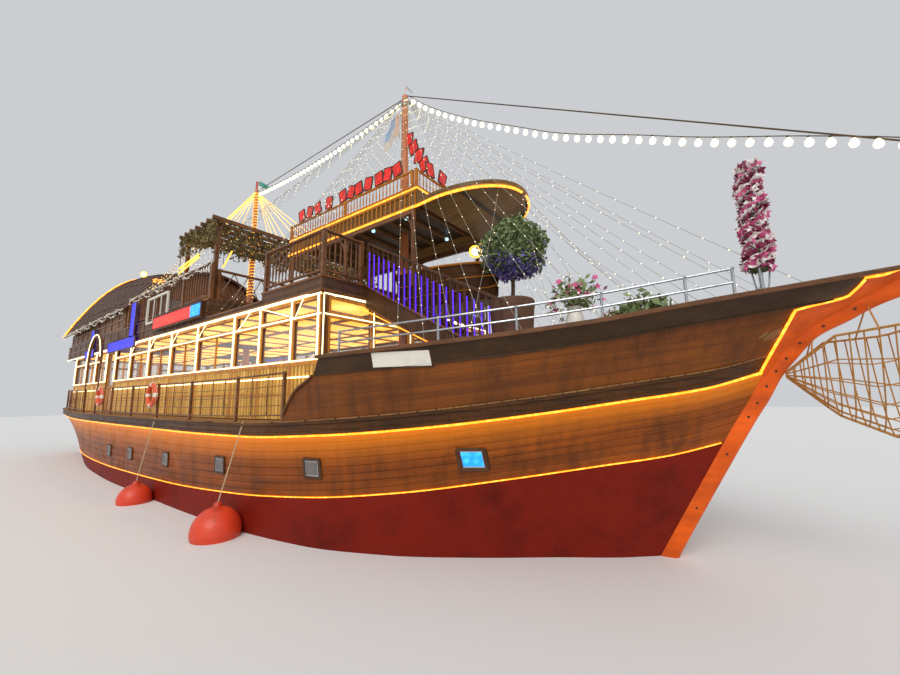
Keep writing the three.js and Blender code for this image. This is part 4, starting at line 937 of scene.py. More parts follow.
def between(points, pitch):
    """Even places between neighbouring posts, about pitch apart."""
    spots = []
    for a, b in zip(points[:-1], points[1:]):
        n = max(1, round(float(np.linalg.norm(b - a)) / pitch))
        spots.append(a + (b - a) * (arange(1, n) / n)[:, None])
    return concatenate(spots)


def balustrade(piece, points, height, pitch, post=0.09, stick=1.0, rods_at=(), rail=0.095):
    """Posts at the points, handrail, foot rail and turned balusters; rods_at adds thin rails at
    those heights."""
    p = asarray(points, float)
    ends = pairs(p[:-1], p[1:])
    piece.add(sweep(ends + UP * (height - rail * 0.32), rounded(rail, rail * 0.63, 0.3)))
    piece.add(sweep(ends + UP * 0.12, rounded(rail * 0.63, rail * 0.53)))
    piece.add(turned(p, array(POST) * [post * 0.7071, 1], 4, height + 0.02, pi / 4))
    profile = array(BALUSTER) * [stick, 1]
    piece.add(turned(between(p, pitch) + UP * 0.12, profile, 6, height - 0.17))
    for h in rods_at:
        piece.add(rods(ends + UP * h, 0.009, 5))
    return piece


def dress(names, finish):
    """Gives nodes of the frame a finish."""
    for name in names:
        NODES[name].data.materials.clear()
        NODES[name].data.materials.append(finish)


deck_line = linspace(0, 1, 400)
deck_line_x = hull_x(deck_line, deck_z(deck_line))


def deck_half(x):
    """Half breadth of the main deck at x."""
    return interp(-asarray(x, float), -deck_line_x, at(deck_line, WALE))


def deck_top(x):
    """Height of the main deck at x."""
    return interp(-asarray(x, float), -deck_line_x, deck_z(deck_line))


# %% Walkway rails with the boarding arch
ARCH_MID, ARCH_R, ARCH_SPRING, RAIL_INSET = -6.22, 1.02, 4.62, 0.06
RUNS = {"fore": [8.65, 6.9, 4.5, 2.1, -0.3, -2.7, -5.1], "aft": [-7.3, -9.7, -12.0, -13.9]}
for side, sign in SIDES:
    for part, xs in RUNS.items():
        xs = array(xs)
        run = places(xs, sign * (deck_half(xs) - RAIL_INSET), deck_top(xs))
        if part == "aft":
            run = vstack([run, [[xs[-1], sign * 0.06, run[-1, 2]]]])
        rail = balustrade(Piece(), run, 1.0, 0.6, 0.06, 0.7, (0.32, 0.52, 0.72), 0.06)
        if part == "aft":
            a, foot = linspace(0, pi, 33), deck_top(ARCH_MID)
            arc = places(np.r_[ARCH_MID + ARCH_R, ARCH_MID + ARCH_R * cos(a), ARCH_MID - ARCH_R],
                sign * (deck_half(ARCH_MID) - RAIL_INSET),
                np.r_[foot, ARCH_SPRING + ARCH_R * sin(a), foot])
            rail.add(sweep(arc, rounded(0.09, 0.1, 0.25)))
        name = f"walkway_rail_{side}_{part}"
        rail.make(name + "_joinery", rail_wood, "pale_wood", name)
    arch_lit = Piece().add(rods(arc[1:-1] + [0, sign * 0.055, 0], 0.014))
    arch_lit.make(f"arch_lights_{side}", white_light)

# %% [markdown]
# ## Salon
# The walls of the frame have their window holes. Real joinery stands proud of the wall: a frame
# round every light, pilasters at the posts, upright boards below the sill and mouldings that run
# through. Glass sits in the holes, and lit strips trace posts, sill, transom and head.

# %% Salon sides
SALON_Y, BOARD_TOP, POST_TOP = 3.28, 3.52, 5.03
SILL, TRANSOM, HEAD = 3.63, 4.59, 4.96
LIT_SILL, LIT_HEAD = 3.62, 5.035
PANE_ROWS = ((SILL, 4.55), (4.63, HEAD))
BAYS = {"fore": array([9.11, 8.1, 6.7, 5.35, 3.0, 0.9, -1.25, -3.35, -5.35]),
        "aft": array([-6.65, -8.5, -10.34, -12.54])}
ENDS = {"fore": (-5.4, 9.2), "aft": (-12.6, -6.6)}
# slanting strips: upper x, z, lower x, z
BRACES = array([(8.54, 5.0, 8.25, 4.6), (6.74, 5.02, 8.25, 4.6), (6.2, 5.02, 5.57, 4.6),
    (3.55, 5.02, 3.0, 4.6), (1.45, 5.02, 0.9, 4.6), (-0.7, 5.02, -1.25, 4.6), (-2.8, 5.02, -3.35, 4.6)])
glass, tree, shader = material("window glass", Base_Color=(0.75, 0.86, 0.9, 1), Roughness=0.04, Alpha=0.16)
feed(tree, shader, Normal=bumps(tree, noise(tree, coords(tree), 1.4), 0.08, 0.01))


def lights_of(xs, y):
    """Rectangles of the window holes between posts xs: main lights, then upper lights."""
    x0, x1 = xs[1:] + 0.06, xs[:-1] - 0.06
    return concatenate([rectangle(places(x0, y, low), places(x1 - x0, 0, 0), [[0, 0, high - low]])
        for low, high in PANE_ROWS])


for side, sign in SIDES:
    dress([f"salon_side_{side}_fore", f"salon_side_{side}_aft", f"salon_front_{side}", f"salon_back_{side}"],
        board_wood)
    joinery, panes, lit = Piece(), Piece(), Piece()
    for part, xs in BAYS.items():
        x0, x1 = ENDS[part]
        face, board_y, glow_y = (sign * (SALON_Y + out) for out in (0.012, 0.006, 0.045))
        joinery.add(borders(lights_of(xs, face), 0.03, 0.05))
        joinery.add(bars(*uprights(xs, face, deck_top(xs) + 0.02, 5.04), 0.035, 0.1))
        for z, tall in ((5.02, 0.06), (TRANSOM, 0.05), (3.56, 0.09), (2.9, 0.04)):
            joinery.add(bars([x0, face, z], [x1, face, z], 0.04, tall))
        board = arange(x0 + 0.1, x1 - 0.05, 0.145)
        joinery.add(bars(*uprights(board, board_y, deck_top(board) + 0.03, BOARD_TOP), 0.014, 0.105), 1)
        wide = (xs[:-1] - xs[1:]) > 1.8
        middle, bar_y = ((xs[:-1] + xs[1:]) / 2)[wide], sign * (SALON_Y - 0.03)
        joinery.add(bars(*uprights(middle, bar_y, SILL, 4.55), 0.04, 0.045))
        panes.add(slabs(lights_of(xs, sign * (SALON_Y - 0.06)), 0.008))
        for z in (LIT_HEAD, TRANSOM, LIT_SILL, 3.26):
            lit.add(rods([[x0, glow_y, z], [x1, glow_y, z]], 0.017))
        lit.add(rods(pairs(*uprights(xs, glow_y, LIT_SILL, POST_TOP)), 0.021))
    upper_x, upper_z, lower_x, lower_z = BRACES.T
    lit.add(rods(pairs(places(upper_x, glow_y, upper_z), places(lower_x, glow_y, lower_z)), 0.011))
    joinery.make(f"salon_joinery_{side}", [salon_wood, slat_wood], "salon_wood")
    panes.make(f"salon_glass_{side}", glass)
    lit.make(f"salon_lights_{side}", white_light)

# %% Salon ends and ceiling
DOOR_HALF = 0.53
ends_lit, end_joinery, end_panes = Piece(), Piece(), Piece()
inside = SALON_Y - 0.09
mid = (inside + DOOR_HALF) / 2
board, posts = arange(DOOR_HALF + 0.1, inside, 0.145), array([DOOR_HALF + 0.03, mid, SALON_Y])
for _, sign in SIDES:
    for x, out in ((9.2, 1), (-12.6, -1)):
        proud, pane_x, glow_x, board_x = (x + out * step for step in (0.012, -0.045, 0.045, 0.006))
        for a, b in ((DOOR_HALF + 0.09, mid - 0.05), (mid + 0.05, inside - 0.09)):
            for low, high in PANE_ROWS:
                edges = [0, sign * (b - a), 0], [0, 0, high - low]
                end_joinery.add(borders(rectangle([proud, sign * a, low], *edges), 0.03, 0.05))
                end_panes.add(slabs(rectangle([pane_x, sign * a, low], *edges), 0.008))
        foot = deck_top(x) + 0.04
        end_joinery.add(bars(*uprights(board_x, sign * board, foot, BOARD_TOP), 0.105, 0.014), 1)
        for z in (LIT_HEAD, TRANSOM, LIT_SILL):
            ends_lit.add(rods([[glow_x, sign * DOOR_HALF, z], [glow_x, sign * SALON_Y, z]], 0.014))
        ends_lit.add(rods(pairs(*uprights(glow_x, sign * posts, LIT_SILL, POST_TOP)), 0.013))
end_joinery.make("salon_end_joinery", [salon_wood, slat_wood], "salon_wood")
end_panes.make("salon_end_glass", glass)
ends_lit.make("salon_end_lights", white_light)

MAIN_X, AFT_X, DOORS_X = 8.47, -0.8, -5.65  # both masts and the boarding doors
coffers = concatenate([rectangle(places(arange(-12.3, 8.0, 1.35), y, LIT_HEAD), [[1.15, 0, 0]],
    [[0, 1.9, 0]]) for y in (-3.05, -0.95, 1.15)])
middle_row, coffer_x = np.abs(coffers[:, 0, 1] + 0.95) < 0.01, coffers[:, 0, 0] + 0.575
at_masts = middle_row & ((np.abs(coffer_x - MAIN_X) < 0.8) | (np.abs(coffer_x - AFT_X) < 0.9))
at_doors = ~middle_row & (np.abs(coffer_x - DOORS_X) < 0.8)
coffers = coffers[~at_masts & ~at_doors]
ceiling = Piece().add(slabs(coffers, 0.02)).add(borders(coffers, 0.06, 0.05), 1)
ceiling.make("salon_ceiling", [ceiling_glow, salon_wood], "salon_wood")

# %% [markdown]
# Round tables with white chairs stand in two rows inside. They show only through the glass, so plain
# slabs, posts and turned feet are enough for them.

# %% Tables and chairs seen through the glass
furniture = Piece()
table = array([(x, y) for x in arange(-11.2, 8.0, 2.1) for y in (-1.75, 1.75) if abs(x - MAIN_X) > 0.8])
SEAT = 0.44
foot = places(table[:, 0], table[:, 1], deck_top(table[:, 0]) + 0.004)
furniture.add(turned(foot, [[0.24, 0], [0.24, 0.03], [0.05, 0.06], [0.05, 0.72]], 12))
furniture.add(turned(foot + UP * 0.72, [[0.45, 0], [0.46, 0.015], [0.45, 0.03]], 20), 1)
for dx, dy in ((-0.62, 0.0), (0.62, 0.0), (0.0, -0.62), (0.0, 0.62)):
    seat = foot + [dx, dy, SEAT]
    back = array([dx, dy, 0]) / 0.62
    beside = array([-back[1], back[0], 0])
    seat_pad = rectangle(seat - back * 0.2 - beside * 0.2, back * 0.4, beside * 0.4)
    back_rest = rectangle(seat + back * 0.19 - beside * 0.19 + UP * 0.02, beside * 0.38, UP * 0.5)
    back_band = rectangle(seat + back * 0.21 - beside * 0.2 + UP * 0.2, beside * 0.4, UP * 0.12)
    for plate_of, thick, finish in ((seat_pad, 0.05, 1), (back_rest, 0.03, 1), (back_band, 0.012, 2)):
        furniture.add(slabs(plate_of, thick), finish)
    for a in (-0.17, 0.17):
        for b in (-0.17, 0.17):
            leg_top = seat + back * a + beside * b
            furniture.add(bars(leg_top - UP * SEAT, leg_top, 0.03, 0.03), 1)
furniture.make("salon_furniture", [dark_wood, white_paint, blue_lacquer], "pale_wood")

# %% [markdown]
# One function dresses all five doors. Each leaf is a body of its own, so its glass and trim ride on
# it and swing with it.


# %% Doors
def door_dressing(name, hinge, width, normal, low, pane_low, pane_high, border=0.16):
    """Glass, beading, a raised panel and a pull bar on a door leaf that starts at its hinge."""
    hinge, width, normal = (asarray(a, float) for a in (hinge, width, normal))
    along = unit(width)
    span = np.linalg.norm(width)
    inner = along * (span - 2 * border)
    opening = rectangle(hinge + along * border + UP * pane_low, inner, UP * (pane_high - pane_low))
    panel = rectangle(hinge + along * border + UP * (low + 0.18), inner, UP * (pane_low - low - 0.34))
    handle = hinge + along * (span - 0.08)
    grip = array([[0, 0.0], [0.05, 0.0], [0.05, 0.32], [0, 0.32]])
    leaf = Piece()
    for face in (-1, 1):
        proud = normal * face * 0.032
        leaf.add(borders(opening + proud, 0.03, 0.014)).add(slabs(panel + proud * 0.9, 0.014))
        bar = handle + proud * 0.8 + normal * face * grip[:, :1] + UP * (low + 0.98 + grip[:, 1:])
        leaf.add(rods(bar, 0.009), 1)
    leaf.add(slabs(opening, 0.008), 2)
    leaf.make(name + "_dressing", [salon_wood, bronze, glass], "salon_wood", body=name)
    dress([name], salon_wood)


door_dressing("salon_door_front", [9.155, -0.522, 0], [0, 1.044, 0], [1, 0, 0], 2.54, 3.59, 4.868)
door_dressing("salon_door_back", [-12.555, -0.522, 0], [0, 1.044, 0], [1, 0, 0], 2.42, 3.47, 4.868)
door_dressing("cabin_door", [-4.645, -0.492, 0], [0, 0.984, 0], [1, 0, 0], 5.82, 6.85, 7.71)
for side, sign in SIDES:
    door_dressing(f"boarding_door_{side}", [-5.408, sign * 3.235, 0], [-1.184, 0, 0], [0, 1, 0],
        2.38, 3.43, 4.86)

# %% [markdown]
# ## Upper deck
# The deck slab of the frame shows as a deep fascia. Boards run along it between two mouldings, the
# tops are laid with planks, and a warm white strip follows the lower edge round the front.

# %% Upper deck boards and fascia
FORE_FLOOR, LOW_FLOOR, AFT_FLOOR, FASCIA_Y = 5.44, 5.24, 5.8, 3.345
MOULDING = rounded(0.05, 0.06, 0.3)
deck_tops = Piece()
for x0, x1, y0, y1, z in ((6.75, 9.24, -3.3, 3.3, FORE_FLOOR), (3.65, 6.75, -2.22, 2.22, FORE_FLOOR),
        (3.65, 6.75, -3.3, -2.27, LOW_FLOOR), (3.65, 6.75, 2.27, 3.3, LOW_FLOOR),
        (-14.57, 3.62, -3.3, 3.3, AFT_FLOOR)):
    deck_tops.add(slabs(rectangle([x0, y0, z], [x1 - x0, 0, 0], [0, y1 - y0, 0]), 0.016))
deck_tops.make("upper_deck_planks", deck_wood, "deck_wood")
dress(["upper_deck"], fascia_wood)
edge_trim, edge_lit = Piece(), Piece()
for _, sign in SIDES:
    for ends, heights in (([6.75, 9.24], (FORE_FLOOR - 0.03, 5.1)),
            ([3.65, -14.6], (AFT_FLOOR - 0.03, 5.1, 5.42)), ([3.65, 6.75], (LOW_FLOOR - 0.03, 5.1))):
        for z in heights:
            edge_trim.add(sweep(places(ends, sign * FASCIA_Y, 0) + UP * z, MOULDING))
    stiles = arange(-14.1, 3.4, 1.1)
    edge_trim.add(bars(*uprights(stiles, sign * 3.348, 5.12, 5.75), 0.03, 0.06))
    corner = linspace(0, pi / 2, 12)
    edge_lit.add(rods(places(np.r_[-14.5, 8.6 + 0.66 * sin(corner), 9.31, 9.345, 9.345],
        sign * np.r_[3.37, 2.71 + 0.66 * cos(corner), 1.7, 0.8, 0.0],
        np.r_[np.full(14, 5.04), 5.082, 5.082]), 0.018))
front_edge = places([9.24, 9.3, 9.32, 9.3, 9.24], [-3.34, -1.7, 0, 1.7, 3.34], 0)
for z in (5.1, FORE_FLOOR - 0.03):
    edge_trim.add(sweep(front_edge + [0.005, 0, z], MOULDING))
edge_trim.make("upper_deck_mouldings", rail_wood, "dark_wood")
edge_lit.make("upper_deck_lights", white_light)

# %% Upper deck rails
RAIL_Y, FORE_TALL, AFT_TALL = 3.28, 1.06, 1.2
for side, sign in SIDES:
    y = sign * RAIL_Y
    front = [[9.21, -2.27, FORE_FLOOR]] if sign < 0 else [[9.238, 1.72, FORE_FLOOR], [9.25, 1.2, FORE_FLOOR]]
    runs = {"fore": ([[6.81, y, FORE_FLOOR], [9.175, y, FORE_FLOOR], *front], FORE_TALL, 0.15),
            "aft": ([[x, y, AFT_FLOOR] for x in (3.59, 1.5, -0.9, -3.0, -4.2)], AFT_TALL, 0.19, 0.1)}
    for part, run in runs.items():
        name = f"{part}_rail_{side}"
        balustrade(Piece(), *run).make(name + "_joinery", rail_wood, "dark_wood", name)
dress(["lattice_rail", "pergola", "helm_stand", "helm_wheel"], rail_wood)

# %% [markdown]
# ## Fore stair and prow
# The stair of the frame keeps its shape. Nosings, a moulded string and a strip of violet light are
# added. The balcony is a small boat's bow: a loft between a rim and a foot, both smooth curves.

# %% Stair trim and lights
STAIR_X0, STAIR_X1, STAIR_SLOPE, STAIR_Y = 9.33, 12.95, 0.55, -2.215


def stair_z(x):
    """Height of the stair's line at x: it falls from the fore floor by its slope."""
    return FORE_FLOOR - STAIR_SLOPE * (asarray(x, float) - STAIR_X0)


dress(["fore_stair"], dark_wood)
trim = Piece()
for ends, drop in ((array([9.36, STAIR_X1 - 0.12]), 0.03), (array([9.36, 11.75]), 0.53)):
    trim.add(sweep(places(ends, STAIR_Y, stair_z(ends) - drop), rounded(0.05, 0.05, 0.3)))
tread_x = STAIR_X0 + (STAIR_X1 - STAIR_X0) / 11 * arange(1, 11)
nosing, nosing_z = tread_x + 0.03, stair_z(tread_x) - 0.012
nosings = pairs(places(nosing, -2.12, nosing_z), places(nosing, -1.38, nosing_z))
trim.add(sweep(nosings, rounded(0.03, 0.03, 0.3)))
trim.make("stair_trim", rail_wood, "dark_wood")
picket = arange(9.5, 12.75, 0.16)
strips = Piece().add(rods(places([9.4, 12.9], -1.26, stair_z([9.4, 12.9]) - 0.02), 0.012))
strips.add(rods(pairs(*uprights(picket, -2.262, stair_z(picket) - 0.02, stair_z(picket) + 0.82)), 0.014, 5))
strips.make("stair_violet_lights", violet_light)
amber = Piece().add(rods(places([9.27, 11.38], -2.24, [4.84, 3.83]), 0.012))
amber.make("stair_amber_light", warm_light)

# %% Prow balcony
# x, half breadth at rim, rim height, half breadth at foot, foot height
PROW = array([[9.321, 1.25, 5.9, 0.9, 5.06], [10.3, 1.08, 5.93, 0.7, 5.07],
    [11.0, 0.76, 5.97, 0.42, 5.11], [11.5, 0.33, 6.02, 0.12, 5.18], [11.62, 0.06, 6.05, 0.04, 5.26]])
PROW_BACK = 9.321
px = concatenate([linspace(PROW_BACK, 11.3, 24), linspace(11.33, 11.62, 10)])
rim, rim_z, keel, keel_z = (smooth(px, PROW[:, 0], PROW[:, c]) for c in (1, 2, 3, 4))
t, narrow = linspace(0, 1, 11), minimum(1, rim / 0.5)
bulge = sin(pi * t) * 0.05
outer = np.stack([np.repeat(px[:, None], 11, 1),
    keel[:, None] + (rim - keel)[:, None] * t + bulge * narrow[:, None] * 0.4,
    keel_z[:, None] + (rim_z - keel_z)[:, None] * t], -1)
thick = minimum(0.07, rim * 0.5)[:, None] * np.ones(11)
inner = outer + np.stack([-0.06 + 0 * thick, -thick, maximum(0, 0.14 - 0.14 * t) + 0 * thick], -1)
inner[..., 1] = maximum(inner[..., 1], 0.01)
inner[..., 0] = maximum(inner[..., 0], PROW_BACK)
shell, lining = mirrored(outer[:, ::-1]), mirrored(inner[:, ::-1])
prow = Piece().add(stack(concatenate([shell, lining[:, ::-1]], 1), paired=True))
for sign in (-1, 1):
    prow.add(sweep(places(px, sign * (rim - 0.02), rim_z), rounded(0.13, 0.05, 0.3)), 1)
    for share in (0.3, 0.62):
        y = keel + (rim - keel) * share + 0.008 + sin(pi * share) * 0.02 * narrow
        prow.add(rods(np.stack([px, sign * y, keel_z + (rim_z - keel_z) * share], -1), 0.014, 5), 1)
prow.make("prow_planks", [wale_wood, rail_in_amber_light], "dark_wood", "prow_balcony", weld=True)

# %% [markdown]
# ## Canopy and terrace
# Over the fore section hangs a roof shaped like a boat seen from below. Its edge is a plan curve
# with a height curve: ring after ring, an outer wall and a recessed soffit. The terrace on it has
# its own rail with a row of blank red plates, and amber ropes light both edges.

# %% Canopy
# x, lower edge, top
CANOPY = array([[4.7, 7.4, 7.86], [10.3, 7.4, 7.86], [10.9, 7.45, 7.82], [11.5, 7.5, 7.82],
    [12.0, 7.56, 7.84], [12.3, 7.61, 7.86], [12.42, 7.63, 7.86]])
CANOPY_Y, STRAIGHT_TO = 1.5, 10.3
cx = concatenate([[4.7, 7.0, 9.0, 10.2, 10.295, 10.305], linspace(10.4, 12.1, 22),
    linspace(12.14, 12.42, 12)])
low_z, high_z = (smooth(cx, CANOPY[:, 0], CANOPY[:, c]) for c in (1, 2))
breadth = CANOPY_Y * np.sqrt(np.clip(1 - (maximum(cx - STRAIGHT_TO, 0) / 2.125) ** 2.35, 0.0007, 1))
high_z = where(cx < STRAIGHT_TO, high_z, low_z + 0.17)  # ahead of the terrace it thins to its lit edge
soffit = maximum(high_z - 0.19, low_z + 0.05)
ledge = breadth - 0.03 * minimum(1, breadth / 0.5)
outline = [(breadth, high_z), (breadth, high_z - 0.08), (ledge, high_z - 0.1), (ledge, low_z + 0.1),
    (breadth, low_z + 0.08), (breadth, low_z)]
recess = [(maximum(breadth - 0.3, 0), soffit), (maximum(breadth - 0.26, 0.0), soffit),
    (maximum(breadth - 0.12, 0.003), minimum(low_z + 0.12, soffit)),
    (maximum(breadth - 0.1, 0.006), minimum(low_z + 0.06, soffit)),
    (maximum(breadth - 0.09, 0.01), low_z)]
outer, inner = (np.stack([places(cx, y, z) for y, z in rows], 1) for rows in (outline, [recess[0], *recess]))
wall, lining = (concatenate([half[:, ::-1], half * [1, -1, 1]], 1) for half in (outer, inner))
canopy = Piece().add(stack(concatenate([wall, lining[:, ::-1]], 1), paired=True))
canopy.make("canopy_shell", canopy_wood, "dark_wood", "canopy", weld=True)
canopy_lit, canopy_trim = Piece(), Piece()
batten = arange(4.8, 10.25, 0.17)
for sign in (-1, 1):
    canopy_lit.add(rods(places(cx, sign * (breadth - 0.01), low_z + 0.012), 0.03))
    canopy_lit.add(rods(places([4.75, STRAIGHT_TO], sign * 1.49, 7.885), 0.027))
    canopy_trim.add(sweep(places(cx, sign * (breadth - 0.008), high_z - 0.035)[:5], rounded(0.05, 0.07, 0.3)))
    canopy_trim.add(bars(*uprights(batten, sign * CANOPY_Y, 7.47, 7.79), 0.02, 0.03))
    canopy_trim.add(sweep(places(cx, sign * (breadth - 0.016), low_z + 0.05), rounded(0.04, 0.06, 0.3)))
canopy_lit.add(rods([[STRAIGHT_TO, -1.49, 7.885], [STRAIGHT_TO, 1.49, 7.885]], 0.02))
canopy_lit.make("canopy_lights", warm_light)
canopy_trim.make("canopy_mouldings", rail_in_amber_light, "dark_wood")
beam_x = arange(5.0, 10.2, 0.62)
beams = Piece().add(bars(places(beam_x, -1.24, 7.63), places(beam_x, 1.24, 7.63), 0.07, 0.09))
beams.add(slabs(rectangle([4.75, -1.22, 7.868], [5.5, 0, 0], [0, 2.44, 0]), 0.014))
beams.make("canopy_beams", deck_wood, "deck_wood")

# %% Canopy posts and terrace rails
TERRACE_Y, TERRACE_Z = 1.45, 7.86


def terrace_rail(side, run):
    """One side of the rail on the canopy."""
    rail = balustrade(Piece(), run, 0.56, 0.13, 0.07, 0.8, (), 0.07)
    rail.make(f"terrace_rail_{side}_joinery", rail_in_amber_light, "dark_wood", f"terrace_rail_{side}")


for side, sign in SIDES:
    dress([f"canopy_posts_{side}"], rail_wood)
    brackets = Piece()
    a = linspace(0, pi / 2, 9)
    for x, ways in ((4.9, (1,)), (7.6, (-1, 1)), (10.15, (-1,))):
        for way in ways:
            curve = places(x + way * (0.05 + 0.42 * (1 - cos(a))), sign * 1.455, 6.86 + 0.42 * sin(a))
            brackets.add(sweep(curve, rounded(0.06, 0.05)))
    brackets.make(f"canopy_brackets_{side}", rail_wood, "dark_wood")
    terrace_rail(side, [[x, sign * TERRACE_Y, TERRACE_Z] for x in (4.76, 7.5, 10.1)])
terrace_rail("front", [[10.24, y, TERRACE_Z] for y in (-TERRACE_Y, TERRACE_Y)])

# %% [markdown]
# The plates on the terrace rail are blank. Each leans a little in its own plane, as if tied on by
# hand, and four more climb a cord from the rail's corner to the mast.

# %% Blank plates
# x of each plate's middle, how far it leans
LEAN = array([[5.35, 0.2], [5.78, -0.25], [6.2, 0.3], [6.76, -0.15], [7.41, 0.2], [7.78, -0.3],
    [8.1, 0.15], [8.5, -0.2], [8.92, 0.1], [9.25, -0.15], [9.6, 0.25]])
PLATE_Z, ALONG_X, ALONG_Y = 8.62, [1, 0, 0], [0, 1, 0]
plates = Piece()


def plate(middle, along, lean, width=0.29, height=0.36):
    """A blank plate that leans in its own plane, with a thin dark border."""
    along = array(along, float)
    u, v = along * cos(lean) + UP * sin(lean), UP * cos(lean) - along * sin(lean)
    corners = rectangle(array(middle, float) - u * width / 2 - v * height / 2, u * width, v * height)
    plates.add(slabs(corners, 0.03)).add(borders(corners, 0.035, 0.03), 1)


for sign in (-1, 1):
    for x, lean in LEAN:
        plate([x, sign * 1.47, PLATE_Z], ALONG_X, lean)
for y, lean in ((-0.95, 0.2), (-0.42, -0.2), (0.42, 0.15), (0.95, -0.2)):
    plate([10.26, y, PLATE_Z], ALONG_Y, lean)
for share, lean in ((0.2, 0.3), (0.45, -0.2), (0.7, 0.25), (0.93, -0.1)):
    plate([9.45 - 0.87 * share, 0, 9.35 + 1.45 * share], ALONG_X, lean, 0.32, 0.42)
plates.add(rods([[10.2, 0, 8.42], [9.35, 0, 9.3], [8.55, 0, 10.9]], 0.008, 5), 1)
plates.make("blank_plates", [plate_light, dark_wood])

# %% [markdown]
# ## Masts and rigging
# A mast is a turned spar, thick at the deck and thin at its head, with iron bands. Strings of small
# lamps fan out from the mastheads to the rails, and a line of large bulbs hangs from each masthead.

# %% Masts
MASTS = {"main_mast": (MAIN_X, 0.165, 0.095, 12.36), "aft_mast": (AFT_X, 0.15, 0.08, 12.3)}
for name, (x, low_r, high_r, head) in MASTS.items():
    foot = float(deck_top(x)) + 0.002
    height = head - foot
    share = array([0, 0.3, 0.302, 0.308, 0.31, 0.5, 0.7, 0.702, 0.708, 0.71, 0.9, 0.902, 0.912,
        0.914, 0.992, 1.0])
    bands = array([0, 0, 1, 1, 0, 0, 0, 1, 1, 0, 0, 1, 1, 0, 0, -6.0]) * 0.008
    radius = low_r + (high_r - low_r) * share + bands
    spar = Piece().add(turned([x, 0, foot], np.column_stack([radius, share * height]), 24))
    collar = [[high_r + 0.02, 0], [high_r + 0.025, 0.05], [high_r + 0.005, 0.06]]
    spar.add(turned([x, 0, head - 0.42], collar, 20), 1)
    spar.make(f"{name}_spar", [spar_wood, steel], "spar_wood", name)
dress(["forestay", "triatic_stay"], rope)

# %% [markdown]
# Bulbs hang from a cable that sags a little below the straight stay. The sag is a parabola: four
# times the middle drop times t times one minus t. Each bulb is a turned drop under a small cap.


# %% Festoon bulbs
def sagging(a, b, drop, count):
    """Points from a to b along a parabola that hangs drop below the chord."""
    t = linspace(0, 1, count)[:, None]
    return asarray(a, float) * (1 - t) + asarray(b, float) * t - UP * 4 * drop * t * (1 - t)


# x, height of the cable as the picture shows it
CABLE = array([[8.58, 12.2], [9.5, 11.34], [10.92, 10.28], [12.26, 9.43], [13.39, 8.74], [15.04, 7.96],
    [16.03, 7.48], [17.38, 6.91], [18.44, 6.42], [20.45, 5.28]])
cable_x = linspace(8.58, 20.45, 49)
festoon = places(cable_x, 0, smooth(cable_x, CABLE[:, 0], CABLE[:, 1] + 0.09))
triatic = sagging([-0.72, 0, 12.1], [8.38, 0, 12.2], 0.25, 38)
BULB = [[0.014, 0.0], [0.024, -0.014], [0.056, -0.06], [0.062, -0.1], [0.042, -0.14], [0.004, -0.155]]
for name, line in (("fore", festoon), ("mid", triatic)):
    hung = Piece().add(rods(line, 0.009, 5))
    hung.add(turned(line[1:-1] - UP * 0.035, [[0.016, 0], [0.018, 0.04]], 6))
    hung.add(turned(line[1:-1] - UP * 0.032, BULB, 8), 1)
    hung.make(f"festoon_{name}", [rope, bulb_light])

# %% [markdown]
# A light string is the same parabola with a tiny lamp at every other point. Its feet stand on the
# cap rail, the low deck, the deck rails and the cabin's front, where the picture shows or hides them.


# %% Light strings
def string_of_lights(piece, a, b, drop):
    """A thin cord with a tiny lamp about every 0.44 m."""
    a, b = asarray(a, float), asarray(b, float)
    count = max(6, int(np.linalg.norm(b - a) / 0.22))
    line = sagging(a, b, drop, count)
    piece.add(rods(line[linspace(0, count - 1, 9).astype(int)], 0.0038, 4))
    piece.add(scatter(line[1:-1:2], 0.011), 1)


for side, sign in SIDES:
    strings = Piece()
    for s in linspace(0.17, 0.028, 11):
        foot = on_bulwark(s, at(s, CAP) + 0.07, sign, -0.06)
        string_of_lights(strings, [8.5, sign * 0.08, 12.2], foot, 0.12)
    for x in linspace(9.1, 4.1, 9):
        foot_z = FORE_FLOOR + FORE_TALL if x > 6.75 else LOW_FLOOR + 0.01
        string_of_lights(strings, [8.45, sign * 0.08, 12.1], [x, sign * RAIL_Y, foot_z], 0.05)
    aft_feet = [[x, RAIL_Y, AFT_FLOOR + AFT_TALL] for x in linspace(2.9, -3.775, 7)]
    for x, y, z in aft_feet + [[-4.3, 3.1, 7.07], [-4.3, 2.55, 7.69]]:
        string_of_lights(strings, [8.4, sign * 0.06, 12.0], [x, sign * y, z], 0.1)
    for x, y, z, s, foot_z, drop in ((12.376, 0, 7.67, 0.06, 4.1, 0.35), (12.376, 0, 7.67, 0.1, 3.85, 0.25),
            (12.094, sign * 0.66, 7.622, 0.135, 3.72, 0.2)):
        string_of_lights(strings, [x, y, z], on_bulwark(s, foot_z, sign, -0.06), drop)
    strings.make(f"light_strings_{side}", [clear_cord, bulb_light])

# %% [markdown]
# The gold lights are a helix round the aft mast, its turns even in height, and seven shrouds on each
# side whose lower part is set with lamps.

